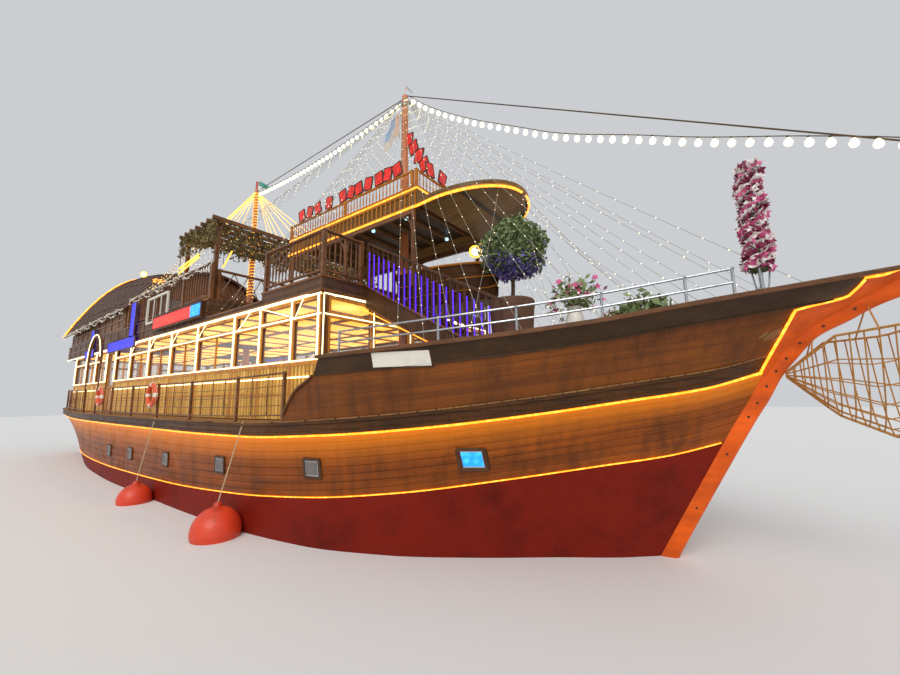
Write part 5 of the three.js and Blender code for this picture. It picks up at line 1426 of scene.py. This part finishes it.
# %% Gold shrouds and mast wrap
gold = Piece()
turns = linspace(0, 1, 420)
x, low_r, high_r, head = MASTS["aft_mast"]
low, high, rounds = 7.2, 12.1, 36
foot = float(deck_top(x))
z = low + (high - low) * turns
r = low_r + (high_r - low_r) * (z - foot) / (head - foot) + 0.012
gold.add(scatter(around(array([x, 0, 0]), r, 2 * pi * rounds * turns, z), 0.024))
for sign in (-1, 1):
    for x, z in ((-3.0, 7.0), (-2.0, 7.0), (-0.9, 7.0), (0.4, 7.0), (1.48, 8.43), (2.34, 8.43), (3.2, 8.43)):
        y = sign * (RAIL_Y if z < 8 else 2.4)
        line = sagging([-0.8, sign * 0.05, 12.15], [x, y, z], 0.04, 44)
        gold.add(rods(line[::6], 0.005, 4), 1).add(rods(line[:26:5], 0.013, 5)).add(scatter(line[26:], 0.02))
gold.make("gold_shrouds", [gold_light, steel])

# %% [markdown]
# A flag is a sheet of points whose waves grow towards the fly, on a staff that it hangs from. Its
# cloth has a band at the hoist and two halves, and a woven thread.


# %% Flags
def flag_cloth(name, hoist, upper, lower):
    """Woven cloth with a band at the hoist and two halves."""
    made, tree, shader = material(name, Roughness=0.75, Sheen_Weight=0.3)
    place = coords(tree, "UV")
    axes = node(tree, "SeparateXYZ", place).outputs
    halves = blend(tree, spread(tree, axes[1], 0.49, 0.51), rgb(lower), rgb(upper))
    banded = blend(tree, spread(tree, axes[0], 0.26, 0.27), rgb(hoist), halves)
    thread = node(tree, "TexWave", Vector=stretched(tree, place, (160, 110, 1)), Scale=1.0,
        wave_profile="SIN").outputs["Fac"]
    weave = blend(tree, thread, (0.8, 0.8, 0.8, 1), (1, 1, 1, 1))
    feed(tree, shader, Base_Color=blend(tree, 1.0, banded, weave, "MULTIPLY"),
         Normal=bumps(tree, thread, 0.3, 0.001))
    return made


def pennant(name, cloth_of, top, length, height, tail, phase, fall=0.34, reach=0.85, below=0.25):
    """A flag hung from a pole, a sheet whose waves grow towards the fly: y = a u sin(k u + phase)."""
    u, w = np.meshgrid(linspace(0, 1, 40), linspace(0, 1, 16), indexing="ij")
    share = 1 - (1 - tail) * u
    wave = 0.09 * length * u * sin(7 * u + phase + 1.2 * w)
    drop = -fall * u**1.5 * length
    z = top[2] - height * (0.5 + (w - 0.5) * share) + drop
    grid = np.stack([top[0] - reach * length * u, top[1] + wave, z], -1)
    i, j = np.meshgrid(arange(39), arange(15), indexing="ij")
    quads = np.stack([i * 16 + j, i * 16 + 16 + j, i * 16 + 17 + j, i * 16 + j + 1], -1).reshape(-1, 4)
    cloth = Piece().add((grid.reshape(-1, 3), [quads]), 0, np.stack([u, 1 - w], -1))
    cloth = cloth.make(name, cloth_of, "flowers")
    steps = grid[1:, :-1] - grid[:-1, :-1], grid[:-1, 1:] - grid[:-1, :-1]
    area = float(np.linalg.norm(cross(*steps), axis=-1).sum())
    ends = uprights(top[0] + 0.012, top[1], top[2] - height - below, top[2] + 0.02)
    staff = Piece().add(rods(pairs(*ends), 0.011, 8))
    staff.make(name + "_staff", steel, "steel")


pale_cloth = flag_cloth("pale flag cloth", "E2BFA8", "9DB6D2", "D8CDBB")
banded_cloth = flag_cloth("banded flag cloth", "C8281C", "3C9C8C", "D8E0DC")
pennant("main_pennant", pale_cloth, (8.43, 0.0, 12.74), 0.55, 0.24, 0.25, 0.4, 0.6, -0.6)
pennant("main_flag", pale_cloth, (8.22, 0.0, 11.85), 0.85, 0.8, 0.9, 2.0, 0.5, 0.75, 0.1)
pennant("aft_flag", banded_cloth, (-0.92, 0.0, 12.72), 1.2, 0.42, 1.0, 1.4, 0.45, -0.85, 0.1)

# %% [markdown]
# ## Leaves and blossom
# Foliage is thousands of small closed gems, long and thin, scattered by a seeded generator over the
# space that the frame's solid holds. A darker core stops the light from shining through.

# %% Foliage
rng = np.random.default_rng(7)
leaf_green = plain("green leaf", "7F8F5A", "56683A", 9.0, 0.6, 0.2)
leaf_dark = plain("dark leaf", "4A5A34", "2C3A20", 9.0, 0.65, 0.2)
leaf_dry = plain("dry leaf", "7A6A3C", "4E4426", 9.0, 0.7, 0.2)
# the last leaf colour is painted light: a leaf as lit violet from below
leaf_in_violet_light = plain("leaf in violet light", "7468B0", "504A78", 9.0, 0.6, 0.2)
bark = plain("bark", "5A4430", "35271A", 20.0, 0.9, 0.9)
petal_pink = plain("pink petal", "D65C90", "A83A70", 12.0, 0.6, 0.1)
petal_white = plain("white petal", "EDE6E0", "CFC0C4", 12.0, 0.6, 0.1)
petal_wine = plain("wine petal", "8C2450", "5A1636", 12.0, 0.6, 0.1)
clay = plain("planter clay", "6A4A36", "42301F", 5.0, 0.8, 0.4)


def leaves(piece, centres, size, finish, axis=None, loose=1.0):
    """Leaves at the centres: gems five times as long as thick."""
    n = len(centres)
    scale = size * rng.uniform(0.7, 1.3, (n, 1)) * array([1.0, 0.42, 0.07])
    piece.add(scatter(centres, scale, random_frames(rng, n, axis, loose)), finish)


CROWN, GEMS = array([12.37, -0.55, 6.05]), 5200
direction = unit(rng.normal(size=(GEMS, 3)))
x, y, z = direction.T
lobes = 0.93 + 0.09 * sin(5 * x + 3) * cos(6 * y) + 0.05 * sin(9 * z)
depth = rng.uniform(0.74, 1.08, GEMS)
spots = CROWN + direction * (lobes * depth * 0.735)[:, None] * [1, 1, 0.97]
tree_piece = Piece()
under = direction[:, 2] < rng.normal(size=GEMS) * 0.2 - 0.55
order = arange(GEMS)
leaves(tree_piece, spots[(order < 3600) & ~under], 0.058, 0, UP * 0.4)
leaves(tree_piece, spots[(order >= 3600) & ~under], 0.05, 1)
# leaves on the crown's underside take the leaf painted as lit by violet light from below
leaves(tree_piece, spots[under], 0.055, 4)
a, b = np.meshgrid(linspace(0.12, pi - 0.12, 12), arange(18) * pi / 9, indexing="ij")
core = CROWN + np.stack([sin(a) * cos(b), sin(a) * sin(b), cos(a)], -1) * 0.56
tree_piece.add(stack(core), 1)
trunk = sagging([12.27, -0.55, 4.82], [12.37, -0.55, 5.6], -0.02, 9)
tree_piece.add(rods(trunk + [0, 0.03, 0] * sin(linspace(0, 6, 9))[:, None], 0.045, 8), 2)
branch = CROWN + unit(rng.normal(size=(9, 3)) * [1, 1, 0.4] + [0, 0, 0.4]) * 0.55
tree_piece.add(rods(pairs(trunk[6], branch), 0.018, 5), 2)
tree_piece.add(scatter(spots[::26] + direction[::26] * 0.01, 0.011), 3)
tree_piece.make("tree_crown", [leaf_green, leaf_dark, bark, tiny_light, leaf_in_violet_light], "leaves", "tree")
seat = float(raised_z(12.27)) + 0.004
pot_height = 4.9 - seat
pot = [[0.36, 0], [0.4, 0.03], [0.42, 0.2], [0.49, 0.86], [0.505, 0.9], [0.505, 0.98], [0.48, 1.0],
       [0.45, 0.985], [0.44, 0.93], [0.05, 0.93]]
pot = Piece().add(turned([12.27, -0.55, seat], pot, 28, pot_height))
pot.make("planter_pot", clay, "dark_wood", "planter")

# %% [markdown]
# Blossoms sit on the flower column by the golden angle: each is turned 2.39996 radians from the one
# before it, which spaces them evenly without a pattern that the eye finds.

# %% Flower column


def blossoms(piece, centres, size, finishes):
    """Five flat petals round each centre."""
    n = len(centres)
    frames = random_frames(rng, n)
    for k in range(5):
        a = 2 * pi * k / 5
        way = frames[:, 0] * cos(a) + frames[:, 1] * sin(a)
        third = unit(frames[:, 2] + 0.5 * way)
        petal = np.stack([unit(cross(third, cross(way, third))), cross(third, way), third], 1)
        for which, finish in enumerate(finishes):
            pick = arange(n) % len(finishes) == which
            middle = centres[pick] + way[pick] * size * 0.5
            piece.add(scatter(middle, size * array([0.55, 0.4, 0.09]), petal[pick]), finish)


low, high = (array(c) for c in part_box("flower_column"))
column_foot = array([16.6, -0.9, low[2] + 0.002])
BLOSSOMS, GOLDEN_ANGLE = 430, 2.39996
number = arange(BLOSSOMS)
height = 0.33 + (high[2] - low[2] - 0.4) * (number + 0.5) / BLOSSOMS
a = number * GOLDEN_ANGLE
radius = 0.162 + 0.022 * sin(height * 11) * cos(a) - 0.014 * height
centres = around(column_foot, radius, a, height)
core = [[0.11, 0], [0.14, 0.1], [0.125, 1.6], [0.05, 1.68]]
column = Piece().add(turned(column_foot + UP * 0.3, core, 14), 3)
column.add(turned(column_foot, [[0.088, 0], [0.088, 0.03], [0.03, 0.05], [0.03, 0.35]], 14), 4)
leg = array([0.4, 2.5, 4.6])
column.add(rods(pairs(around(column_foot, 0.08, leg, 0.02), around(column_foot, 0.13, leg, 0.34)), 0.014), 4)
blossoms(column, centres, 0.084, (0, 1, 2, 1))
leaves(column, centres[::3] + [0, 0, 0.02], 0.05, 3)
column.make("flower_column_blossom", [petal_pink, petal_white, petal_wine, leaf_dark, steel], "flowers",
    "flower_column")

# %% [markdown]
# The raised foredeck carries two vases, three pots, a coil of rope and a low fence beside the stair.

# %% Foredeck furniture
furniture = Piece()


def deck_spot(x, y):
    """A place on the raised foredeck's planks."""
    return array([x, y, float(raised_z(x)) + 0.008])


vase = [[0.1, 0], [0.13, 0.02], [0.17, 0.2], [0.19, 0.42], [0.14, 0.62], [0.1, 0.72], [0.13, 0.78],
        [0.12, 0.785], [0.08, 0.7]]
bunch = rng.normal(size=(240, 3)) * [0.17, 0.17, 0.13]
for x, y in ((14.0, -1.55), (14.0, 1.55)):
    foot = deck_spot(x, y)
    furniture.add(turned(foot, vase, 20))
    leaves(furniture, foot + [0, 0, 0.98] + bunch, 0.075, 1, UP * 0.6)
    blossoms(furniture, foot + [0, 0, 1.0] + bunch[:70] * 1.15, 0.06, (2, 3))
for x, y in ((14.85, -1.2), (15.15, -0.95), (14.85, 1.2)):
    foot = deck_spot(x, y)
    furniture.add(turned(foot, [[0.13, 0], [0.17, 0.26], [0.18, 0.28], [0.15, 0.27]], 16), 4)
    leaves(furniture, foot + [0, 0, 0.42] + rng.normal(size=(170, 3)) * [0.12, 0.12, 0.14], 0.1, 1, UP)
coil_a = linspace(0, 2 * pi * 5, 150)
coil = around(deck_spot(15.9, -0.45), 0.19, coil_a, 0.02 + 0.036 * coil_a / (2 * pi))
furniture.add(rods(coil, 0.019, 6), 5)
fence_x = linspace(12.95, 13.75, 12)
fence = places(fence_x, -1.95, raised_z(fence_x))
furniture.add(bars(fence, fence + UP * 0.42, 0.025, 0.018))
furniture.add(bars(fence[:1] + UP * 0.34, fence[-1:] + UP * 0.34, 0.025, 0.03))
furniture.add(rods(np.stack([fence[0], fence[-1]]) + [0, -0.03, 0.06], 0.018), 6)
finishes = [white_paint, leaf_green, petal_white, petal_pink, clay, rope, blue_light]
furniture.make("foredeck_furniture", finishes, "pale_wood")

# %% [markdown]
# ## Aft section
# The pergola carries leaves and lit cords. The cabin roof is a vault: the frame's arch, drawn finer,
# with battens from eave to eave.

# %% Pergola leaves
VINES, EDGE_LEAVES = 2600, 900
hang_x = rng.uniform(1.0, 3.65, VINES)
hang_y = rng.uniform(-3.35, 3.35, VINES)
drop = rng.uniform(0, 1, VINES) ** 2.2 * (0.25 + 0.45 * np.abs(sin(hang_x * 2.3) * cos(hang_y * 1.7)))
vine = Piece()
leaves(vine, places(hang_x, hang_y, 8.36 - drop), 0.085, 0, -UP * 0.7)
leaves(vine, places(hang_x[::3], hang_y[::3], 8.4), 0.08, 1, UP * 0.1)
edge_y = rng.choice([-3.3, 3.3], EDGE_LEAVES)
edge_x, edge_y = rng.uniform(0.9, 3.7, EDGE_LEAVES), edge_y + rng.normal(size=EDGE_LEAVES) * 0.05
leaves(vine, places(edge_x, edge_y, 8.33 - rng.uniform(0, 1, EDGE_LEAVES) ** 1.6 * 0.75), 0.08, 0, -UP)
vine.add(scatter(places(hang_x[::17], hang_y[::17], 8.3 - drop[::17]), 0.016), 2)
for sign in (-1, 1):
    for a, b in (([0.94, 3.3, 7.14], [2.53, 3.3, 7.36]), ([0.94, 3.3, 7.3], [2.53, 3.3, 7.46]),
            ([1.66, 2.2, 7.49], [2.28, 2.2, 7.95])):
        bar = array([a, b]) * [1, sign, 1]
        vine.add(rods(bar, 0.03), 2).add(rods(pairs(bar, bar * [1, 1, 0] + UP * 8.34), 0.01, 5), 1)
vine.make("pergola_vine", [leaf_dry, leaf_dark, gold_light], "leaves")

# %% Cabin roof
# x, height of the eave, half breadth, height of the crown
ROOF = array([[-14.5, 6.34, 3.66, 10.6], [-11.0, 6.43, 3.62, 10.2], [-8.0, 6.52, 3.56, 9.65],
    [-4.3, 6.6, 3.48, 9.0]])


def roof_row(x):
    """Eave height, half breadth and crown height at x."""
    return np.stack([smooth(x, ROOF[:, 0], ROOF[:, c]) for c in (1, 2, 3)])


roof_x = linspace(-14.5, -4.3, 35)
eave, wide, crown = roof_row(roof_x)[..., None]


def roof_ring(shrink, count=33):
    """The vault's arch at each x, a parabola: half breadth times cosine, rise times sine squared."""
    a = linspace(0, pi, count)
    return np.stack([np.repeat(roof_x[:, None], count, 1), (wide - shrink) * cos(a),
        eave + (crown - shrink - eave) * sin(a) ** 2], -1)


def arch_half(x, z, shrink=0.2):
    """Half breadth of the space under the vault at height z."""
    low, half, high = roof_row(asarray(x, float))
    return (half - shrink) * np.sqrt(np.clip(1 - (z - low) / (high - shrink - low), 0, 1))


roof = Piece().add(stack(concatenate([roof_ring(0), roof_ring(0.11)[:, ::-1]], 1), paired=True))
arch = roof_ring(-0.006)
roof.add(sweep(arch[2:-1:3, 1:-1], rounded(0.06, 0.05, 0.3)), 1)
for column_index in (1, 5, 10, 16, 22, 27, 31):
    roof.add(sweep(arch[:, column_index], rounded(0.06, 0.03, 0.3)), 1)
roof.make("cabin_roof_boards", [roof_wood, dark_wood], "roof_wood", "cabin_roof")
roof_lit = Piece().add(rods(roof_ring(-0.035)[0, 1:-1] + [0.02, 0, 0], 0.034, 8))
squiggle = linspace(0, 1, 40)
for sign in (-1, 1):
    wave = places(-7.4 + 3.0 * squiggle, 0, 8.85 - 0.75 * squiggle + 0.1 * sin(13 * squiggle))
    low, half, high = roof_row(wave[:, 0])
    wave[:, 1] = sign * (half + 0.03) * np.sqrt(1 - (wave[:, 2] - low) / (high + 0.03 - low))
    roof_lit.add(rods(wave, 0.02, 5))
roof_lit.make("roof_lights", warm_light)

# %% [markdown]
# The cabin's walls get stiles and mouldings on their sides, and on each end two windows and frames
# that follow the vault: the half breadth under it at height z is a square root.

# %% Cabin walls
CABIN_Y = 3.332
dress(["cabin_side_starboard", "cabin_side_port", "cabin_front", "cabin_back"], board_wood)
cabin_trim, cabin_panes = Piece(), Piece()
for _, sign in SIDES:
    stile = arange(-13.9, -4.6, 1.05)
    cabin_trim.add(bars(*uprights(stile, sign * CABIN_Y, 5.85, 6.6), 0.03, 0.07))
    for z in (5.86, 6.24, 6.58):
        cabin_trim.add(sweep([[-14.15, sign * 3.335, z], [-4.65, sign * 3.335, z]], rounded(0.035, 0.06)))
for x, spots, out in ((-4.6, (0.9, -2.1), 1), (-14.2, (0.3, -1.5), -1)):
    proud = x + out * 0.012
    holes = rectangle(places(proud, array(spots), 6.7), [[0, 1.2, 0]], [[0, 0, 0.8]])
    cabin_trim.add(borders(holes, 0.04, 0.06))
    cabin_panes.add(slabs(holes - [out * 0.06, 0, 0], 0.008))
    height = array([6.62, 7.98, 8.75, 9.5])
    reach = arch_half(x, height)
    row = np.column_stack([-reach, reach, height])[reach > 0.4]
    if out > 0:
        row = concatenate([[[row[0, 0], -0.58, row[0, 2]], [0.58, row[0, 1], row[0, 2]]], row[1:]])
    cabin_trim.add(bars(places(proud, row[:, 0], row[:, 2]), places(proud, row[:, 1], row[:, 2]), 0.03, 0.07))
    across_y = array([-2.55, -1.8, -0.9, 0.0, 0.9, 1.8, 2.55])
    low, half, high = roof_row(array(x, float))
    top_z = low + (high - 0.25 - low) * (1 - (across_y / (half - 0.2)) ** 2)
    cabin_trim.add(bars(*uprights(proud, across_y, minimum(7.98, top_z - 0.02), top_z), 0.03, 0.06))
cabin_trim.make("cabin_joinery", rail_wood, "dark_wood")
cabin_panes.make("cabin_glass", glass)

# %% [markdown]
# Lights with white petals hang in swags along the eaves: the height is a line minus the absolute
# value of a sine. Below them are blue panels, a small white balcony frame and the blank sign.

# %% Garland, blue panels, balcony frame and sign
garland_piece = Piece()
for _, sign in SIDES:
    gx = concatenate([linspace(3.7, -4.2, 300), linspace(-4.3, -14.4, 360)])
    on_roof = gx < -4.25
    gy = sign * where(on_roof, roof_row(gx)[1] + 0.02, 3.34)
    for row, swag in ((0.04, 0.05), (0.01, 0.2)):
        gz = where(on_roof, roof_row(gx)[0], 6.94) + row - swag * np.abs(sin(gx * 2.5))
        spots = places(gx, gy, gz) + rng.normal(size=(len(gx), 3)) * 0.02
        leaves(garland_piece, spots[::2], 0.035, 0)
        garland_piece.add(scatter(spots[::3] + [0, sign * 0.03, 0], 0.018), 1)
garland_piece.make("eave_garland", [petal_white, tiny_light], "flowers")

blue, frames, FRAME_Y = Piece(), Piece(), 3.4
for _, sign in SIDES:
    for x0, x1, z0, z1, z2 in ((-6.2, -2.6, 4.86, 5.3, 6.68), (-10.2, -8.6, 4.86, 5.25, 6.2)):
        foot = rectangle([x0, sign * 3.43, z0], [x1 - x0, 0, 0], [0, 0, z1 - z0])
        upright = rectangle([x1 - 0.75, sign * 3.43, z1], [0.55, 0, 0], [0, 0, z2 - z1])
        blue.add(slabs(concatenate([foot, upright]), 0.035))
        blue.add(borders(foot, 0.05, 0.04), 1).add(borders(upright, 0.05, 0.04), 1)
    frames.add(borders(rectangle([-1.55, sign * FRAME_Y, 5.62], [2.0, 0, 0], [0, 0, 0.92]), 0.06, 0.07))
    frames.add(bars(*uprights([-0.9, -0.2], sign * FRAME_Y, 5.64, 6.52), 0.03, 0.03))
blue.make("blue_panels", [blue_light, dark_wood])
frames.make("balcony_frames", white_paint, "pale_wood")

sign_face = Piece().add(slabs(rectangle([-0.55, -3.468, 5.32], [3.2, 0, 0], [0, 0, 0.36]), 0.02))
sign_face.add(slabs(rectangle([2.68, -3.468, 5.32], [0.72, 0, 0], [0, 0, 0.36]), 0.02), 1)
sign_face.add(borders(rectangle([-0.6, -3.455, 5.27], [4.05, 0, 0], [0, 0, 0.46]), 0.05, 0.05), 2)
sign_face.make("sign_face", [sign_light, cyan_light, dark_wood])
dress(["sign_board"], dark_wood)

# %% [markdown]
# ## Bow net
# A rope net hangs under the beak like a hammock. Two families of cords run along and across a sheet
# whose height is a curve along the beak and a shallow trough across it.

# %% Bow net
net_x = concatenate([[16.8, 16.9, 17.0, 17.1, 17.22], linspace(17.35, 20.3, 23)])
edge_z = interp(net_x, [16.8, 17.35, 18.1, 19.0, 20.3], [3.12, 3.6, 3.68, 3.98, 4.86])
trough = interp(net_x, [16.8, 17.33, 17.9, 18.8, 19.6, 20.3], [3.04, 2.46, 2.16, 2.45, 3.25, 4.5])
breadth = interp(net_x, [16.8, 17.35, 18.1, 18.6, 19.4, 20.3], [0.06, 0.5, 0.85, 0.92, 0.7, 0.16])
w = linspace(-1, 1, 15)
sheet = np.stack([np.repeat(net_x[:, None], 15, 1), breadth[:, None] * w,
    trough[:, None] + (edge_z - trough)[:, None] * np.abs(w)**2.2], -1)
net = Piece().add(rods(sheet, 0.009, 4)).add(rods(np.moveaxis(sheet, 1, 0), 0.009, 4))
net.add(rods(sheet[:, [0, -1]].transpose(1, 0, 2), 0.019, 6))
for sign, rim_cord in ((-1, 0), (1, -1)):
    knots = sheet[3::5, rim_cord]
    beak_z = interp(knots[:, 0], front_x[40:], front_z[40:]) + 0.09
    net.add(rods(pairs(knots, places(knots[:, 0] + 0.05, sign * 0.07, beak_z)), 0.011, 5))
net.make("bow_net", net_rope, "dark_wood")

# %% [markdown]
# ## Ports, rings and fenders
# Each port is a square frame whose corners are read off the planking, so that it lies on the curved
# side. The registration board is blank.

# %% Hull ports and the blank board
ports = Piece()
for x, z in ((12.43, 1.75), (9.52, 1.49), (6.4, 1.32), (3.26, 1.19), (0.24, 1.12), (-2.08, 1.05)):
    corner = []
    for dx, dz in ((-0.2, -0.17), (0.2, -0.17), (0.2, 0.17), (-0.2, 0.17)):
        s = station_of(x + dx, z + dz)
        yz = through(half_section(array([s])), linspace(4, 6, 80))[:, 0]
        corner.append([x + dx, -float(interp(z + dz, yz[:, 1], yz[:, 0])) - 0.008, z + dz])
    for sign in (1, -1):
        face = array(corner) * [1, sign, 1]
        pane = face.mean(0) + (face - face.mean(0)) * 0.78 + [0, -sign * 0.014, 0]
        ports.add(borders(face, 0.05, 0.055)).add(slabs(face[None], 0.02))
        ports.add(slabs(pane[None], 0.012), 1 if x < 12 else 2).add(borders(pane, 0.02, 0.02), 3)
ports.make("hull_ports", [dark_wood, glass, cyan_light, steel], "dark_wood")
board = Piece()
for sign in (-1, 1):
    for low, high, border, finish, out in ((3.3, 3.6, 0, 1, 0.022), (3.325, 3.575, 0.025, 0, 0.03)):
        xs = linspace(11.06 + border, 12.12 - border, 9)
        lower, upper = (on_bulwark(station_of(xs, z), z, sign, out) for z in (low + 0 * xs, high + 0 * xs))
        depth = [0, sign * 0.03, 0]
        board.add(stack(np.stack([lower, upper, upper - depth, lower - depth], 1)), finish)
board.make("blank_boards", [white_paint, dark_wood])

# %% [markdown]
# A life ring is a torus: a circle carried round a larger one. Its paint changes at four places of
# the turn, which the UV map counts, and a grab line bows out between them.

# %% Life rings
ring_paint, ring_tree, ring_shader = material("ring plastic", Roughness=0.45, Coat_Weight=0.2)
ring_uv = node(ring_tree, "SeparateXYZ", coords(ring_tree, "UV")).outputs
quarter = calc(ring_tree, "PINGPONG", times(ring_tree, ring_uv[0], 4.0), 0.5)
scuff = node(ring_tree, "Group", node_tree=WEAR, Vector=coords(ring_tree), Size=14.0).outputs[0]
ring_base = blend(ring_tree, spread(ring_tree, quarter, 0.11, 0.115), rgb("EDE8DC"), rgb("E0501C"))
feed(ring_tree, ring_shader,
     Base_Color=blend(ring_tree, times(ring_tree, scuff, 0.45), ring_base, rgb("7A4A34")))
for name in ("life_ring_fore", "life_ring_aft"):
    low, high = (array(c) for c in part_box(name))
    mid, size = (low + high) / 2, high - low
    tube = size[1] / 2
    big = (size[2] - 2 * tube) / 2
    a, b = np.meshgrid(linspace(0, 2 * pi, 49), arange(16) * 2 * pi / 16, indexing="ij")
    out = big + tube * cos(b)
    body = mid + np.stack([out * cos(a), tube * sin(b), out * sin(a)], -1)
    ring = Piece().add(stack(body), 0, np.stack([np.repeat(linspace(0, 1, 49)[:, None], 16, 1), b], -1))
    grab = linspace(0, 2 * pi, 65)
    bow_out = minimum(big + tube + 0.004 + 0.022 * np.abs(sin(2 * grab)), size[2] / 2 + 0.02)
    line = places(bow_out * cos(grab), 0, bow_out * sin(grab))
    ring.add(rods(mid + line, 0.006, 5), 1)
    ring.make(name + "_body", [ring_paint, white_paint], "ring_orange", name)

# %% [markdown]
# A ball fender is one turned outline with a neck. Three strands twist round the line from the neck
# to the rope's upper end.

# %% Fenders
fender_paint = plain("fender rubber", "D8401E", "8E2A16", 1.6, 0.5, 0.2, coat=0.15)
for name, radius, mid in (("fender_fore", 0.475, [7.2, -4.235, 0.13]),
        ("fender_aft", 0.405, [2.35, -4.309, 0.09])):
    a = linspace(-pi / 2, pi / 2 - 0.32, 26)
    ball = np.column_stack([maximum(radius * cos(a), 0.004), radius * sin(a)])
    neck = [[0.085, radius * 0.98], [0.075, radius + 0.05], [0.06, radius + 0.075], [0.05, radius + 0.08],
            [0.01, radius + 0.082]]
    seam = [[radius * 0.995, -0.05], [radius, -0.045], [radius, 0.045], [radius * 0.995, 0.05]]
    fender = Piece().add(turned(mid, vstack([ball, neck]), 40)).add(turned(mid, seam, 40))
    points = array([v.co for v in NODES[name].data.vertices])
    top_end = points[points[:, 2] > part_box(name)[1][2] - 0.02].mean(0)
    t, lay = linspace(0, 1, 60)[:, None], linspace(0, 2 * pi * 22, 60)
    middle = (array(mid) + UP * (radius + 0.07)) * (1 - t) + top_end * t
    for strand in range(3):
        fender.add(rods(around(middle, 0.007, lay + strand * 2.094), 0.008, 5), 1)
    fender.make(name + "_body", [fender_paint, pale_rope], "fender_red", name)

# %% [markdown]
# What lies under the load line keeps the frame's own shapes and only gets its paint.

# %% Keel, rudder and propeller
dress(["keel", "rudder"], keel_paint)
dress(["propeller"], bronze)

# %% [markdown]
# The lamps on deck are short tubes along a direction, with a gold hoop round the glass, and flat
# downlights under the canopy.

# %% Lamps
lamps = Piece().add(turned([11.0, -0.02, 6.0], [[0.018, 0], [0.018, 0.4]], 8))
aim = unit(array([0.75, -0.62, -0.15]))
first, second = unit(cross(aim, UP)), unit(cross(cross(aim, UP), aim))
a = linspace(0, 2 * pi, 33)[:, None]
for centre, size in ((array([11.0, -0.02, 6.5]), 0.13), (array([-4.0, -3.0, 8.15]), 0.1)):
    for radius, start, end, finish in ((1.0, -0.7, -0.1, 0), (1.0, -0.1, 0.25, 0), (0.86, 0.2, 0.27, 1)):
        ends = pairs(centre + aim * size * start, centre + aim * size * end)
        lamps.add(sweep(ends, circle(size * radius, 16)), finish)
    hoop = centre + aim * size * 0.2 + size * 1.15 * (cos(a) * first + sin(a) * second)
    lamps.add(rods(hoop, size * 0.16), 3)
lamps.add(rods([[-4.0, -3.0, 8.1], [-4.3, -2.6, 7.85]], 0.015))
for x, y in ((5.6, -0.9), (7.2, 0.9), (8.1, -0.9), (9.4, 0.9), (9.4, -0.9)):
    lamps.add(turned([x, y, 7.52], [[0.03, 0], [0.05, 0.01], [0.05, 0.07], [0.02, 0.08]], 12), 2)
lamps.make("deck_lamps", [steel, bulb_light, pale_lamp, gold_light], "steel")

# %% [markdown]
# ## Floor and light
# The boat floats, so the floor lies at its waterline and the bottom shows only from below. One soft
# sun and an even pale sky light it as in a studio, and the boat's own lamps still read.

# %% Floor and light
floor_mesh = bpy.data.meshes.new("floor")
floor_mesh.from_pydata([(-90, -90, 0), (90, -90, 0), (90, 90, 0), (-90, 90, 0)], [], [(0, 1, 2, 3)])
floor = bpy.data.objects.new("floor", floor_mesh)
floor_paint, _, _ = material("pale floor", Base_Color=(0.72, 0.72, 0.71, 1), Roughness=0.85)
floor_mesh.materials.append(floor_paint)
bpy.context.scene.collection.objects.link(floor)
sun_data = bpy.data.lights.new("sun", "SUN")
sun_data.energy, sun_data.angle, sun_data.color = 1.7, 0.7, (1.0, 0.98, 0.95)
sun = bpy.data.objects.new("sun", sun_data)
sun.rotation_euler = (np.radians(48), 0, np.radians(28))
bpy.context.scene.collection.objects.link(sun)
world = bpy.data.worlds.new("studio")
world.use_nodes = True
world.node_tree.nodes["Background"].inputs[0].default_value = (0.8, 0.82, 0.85, 1)
world.node_tree.nodes["Background"].inputs[1].default_value = 0.75
bpy.context.scene.world = world
bpy.context.scene.view_settings.view_transform = "Standard"
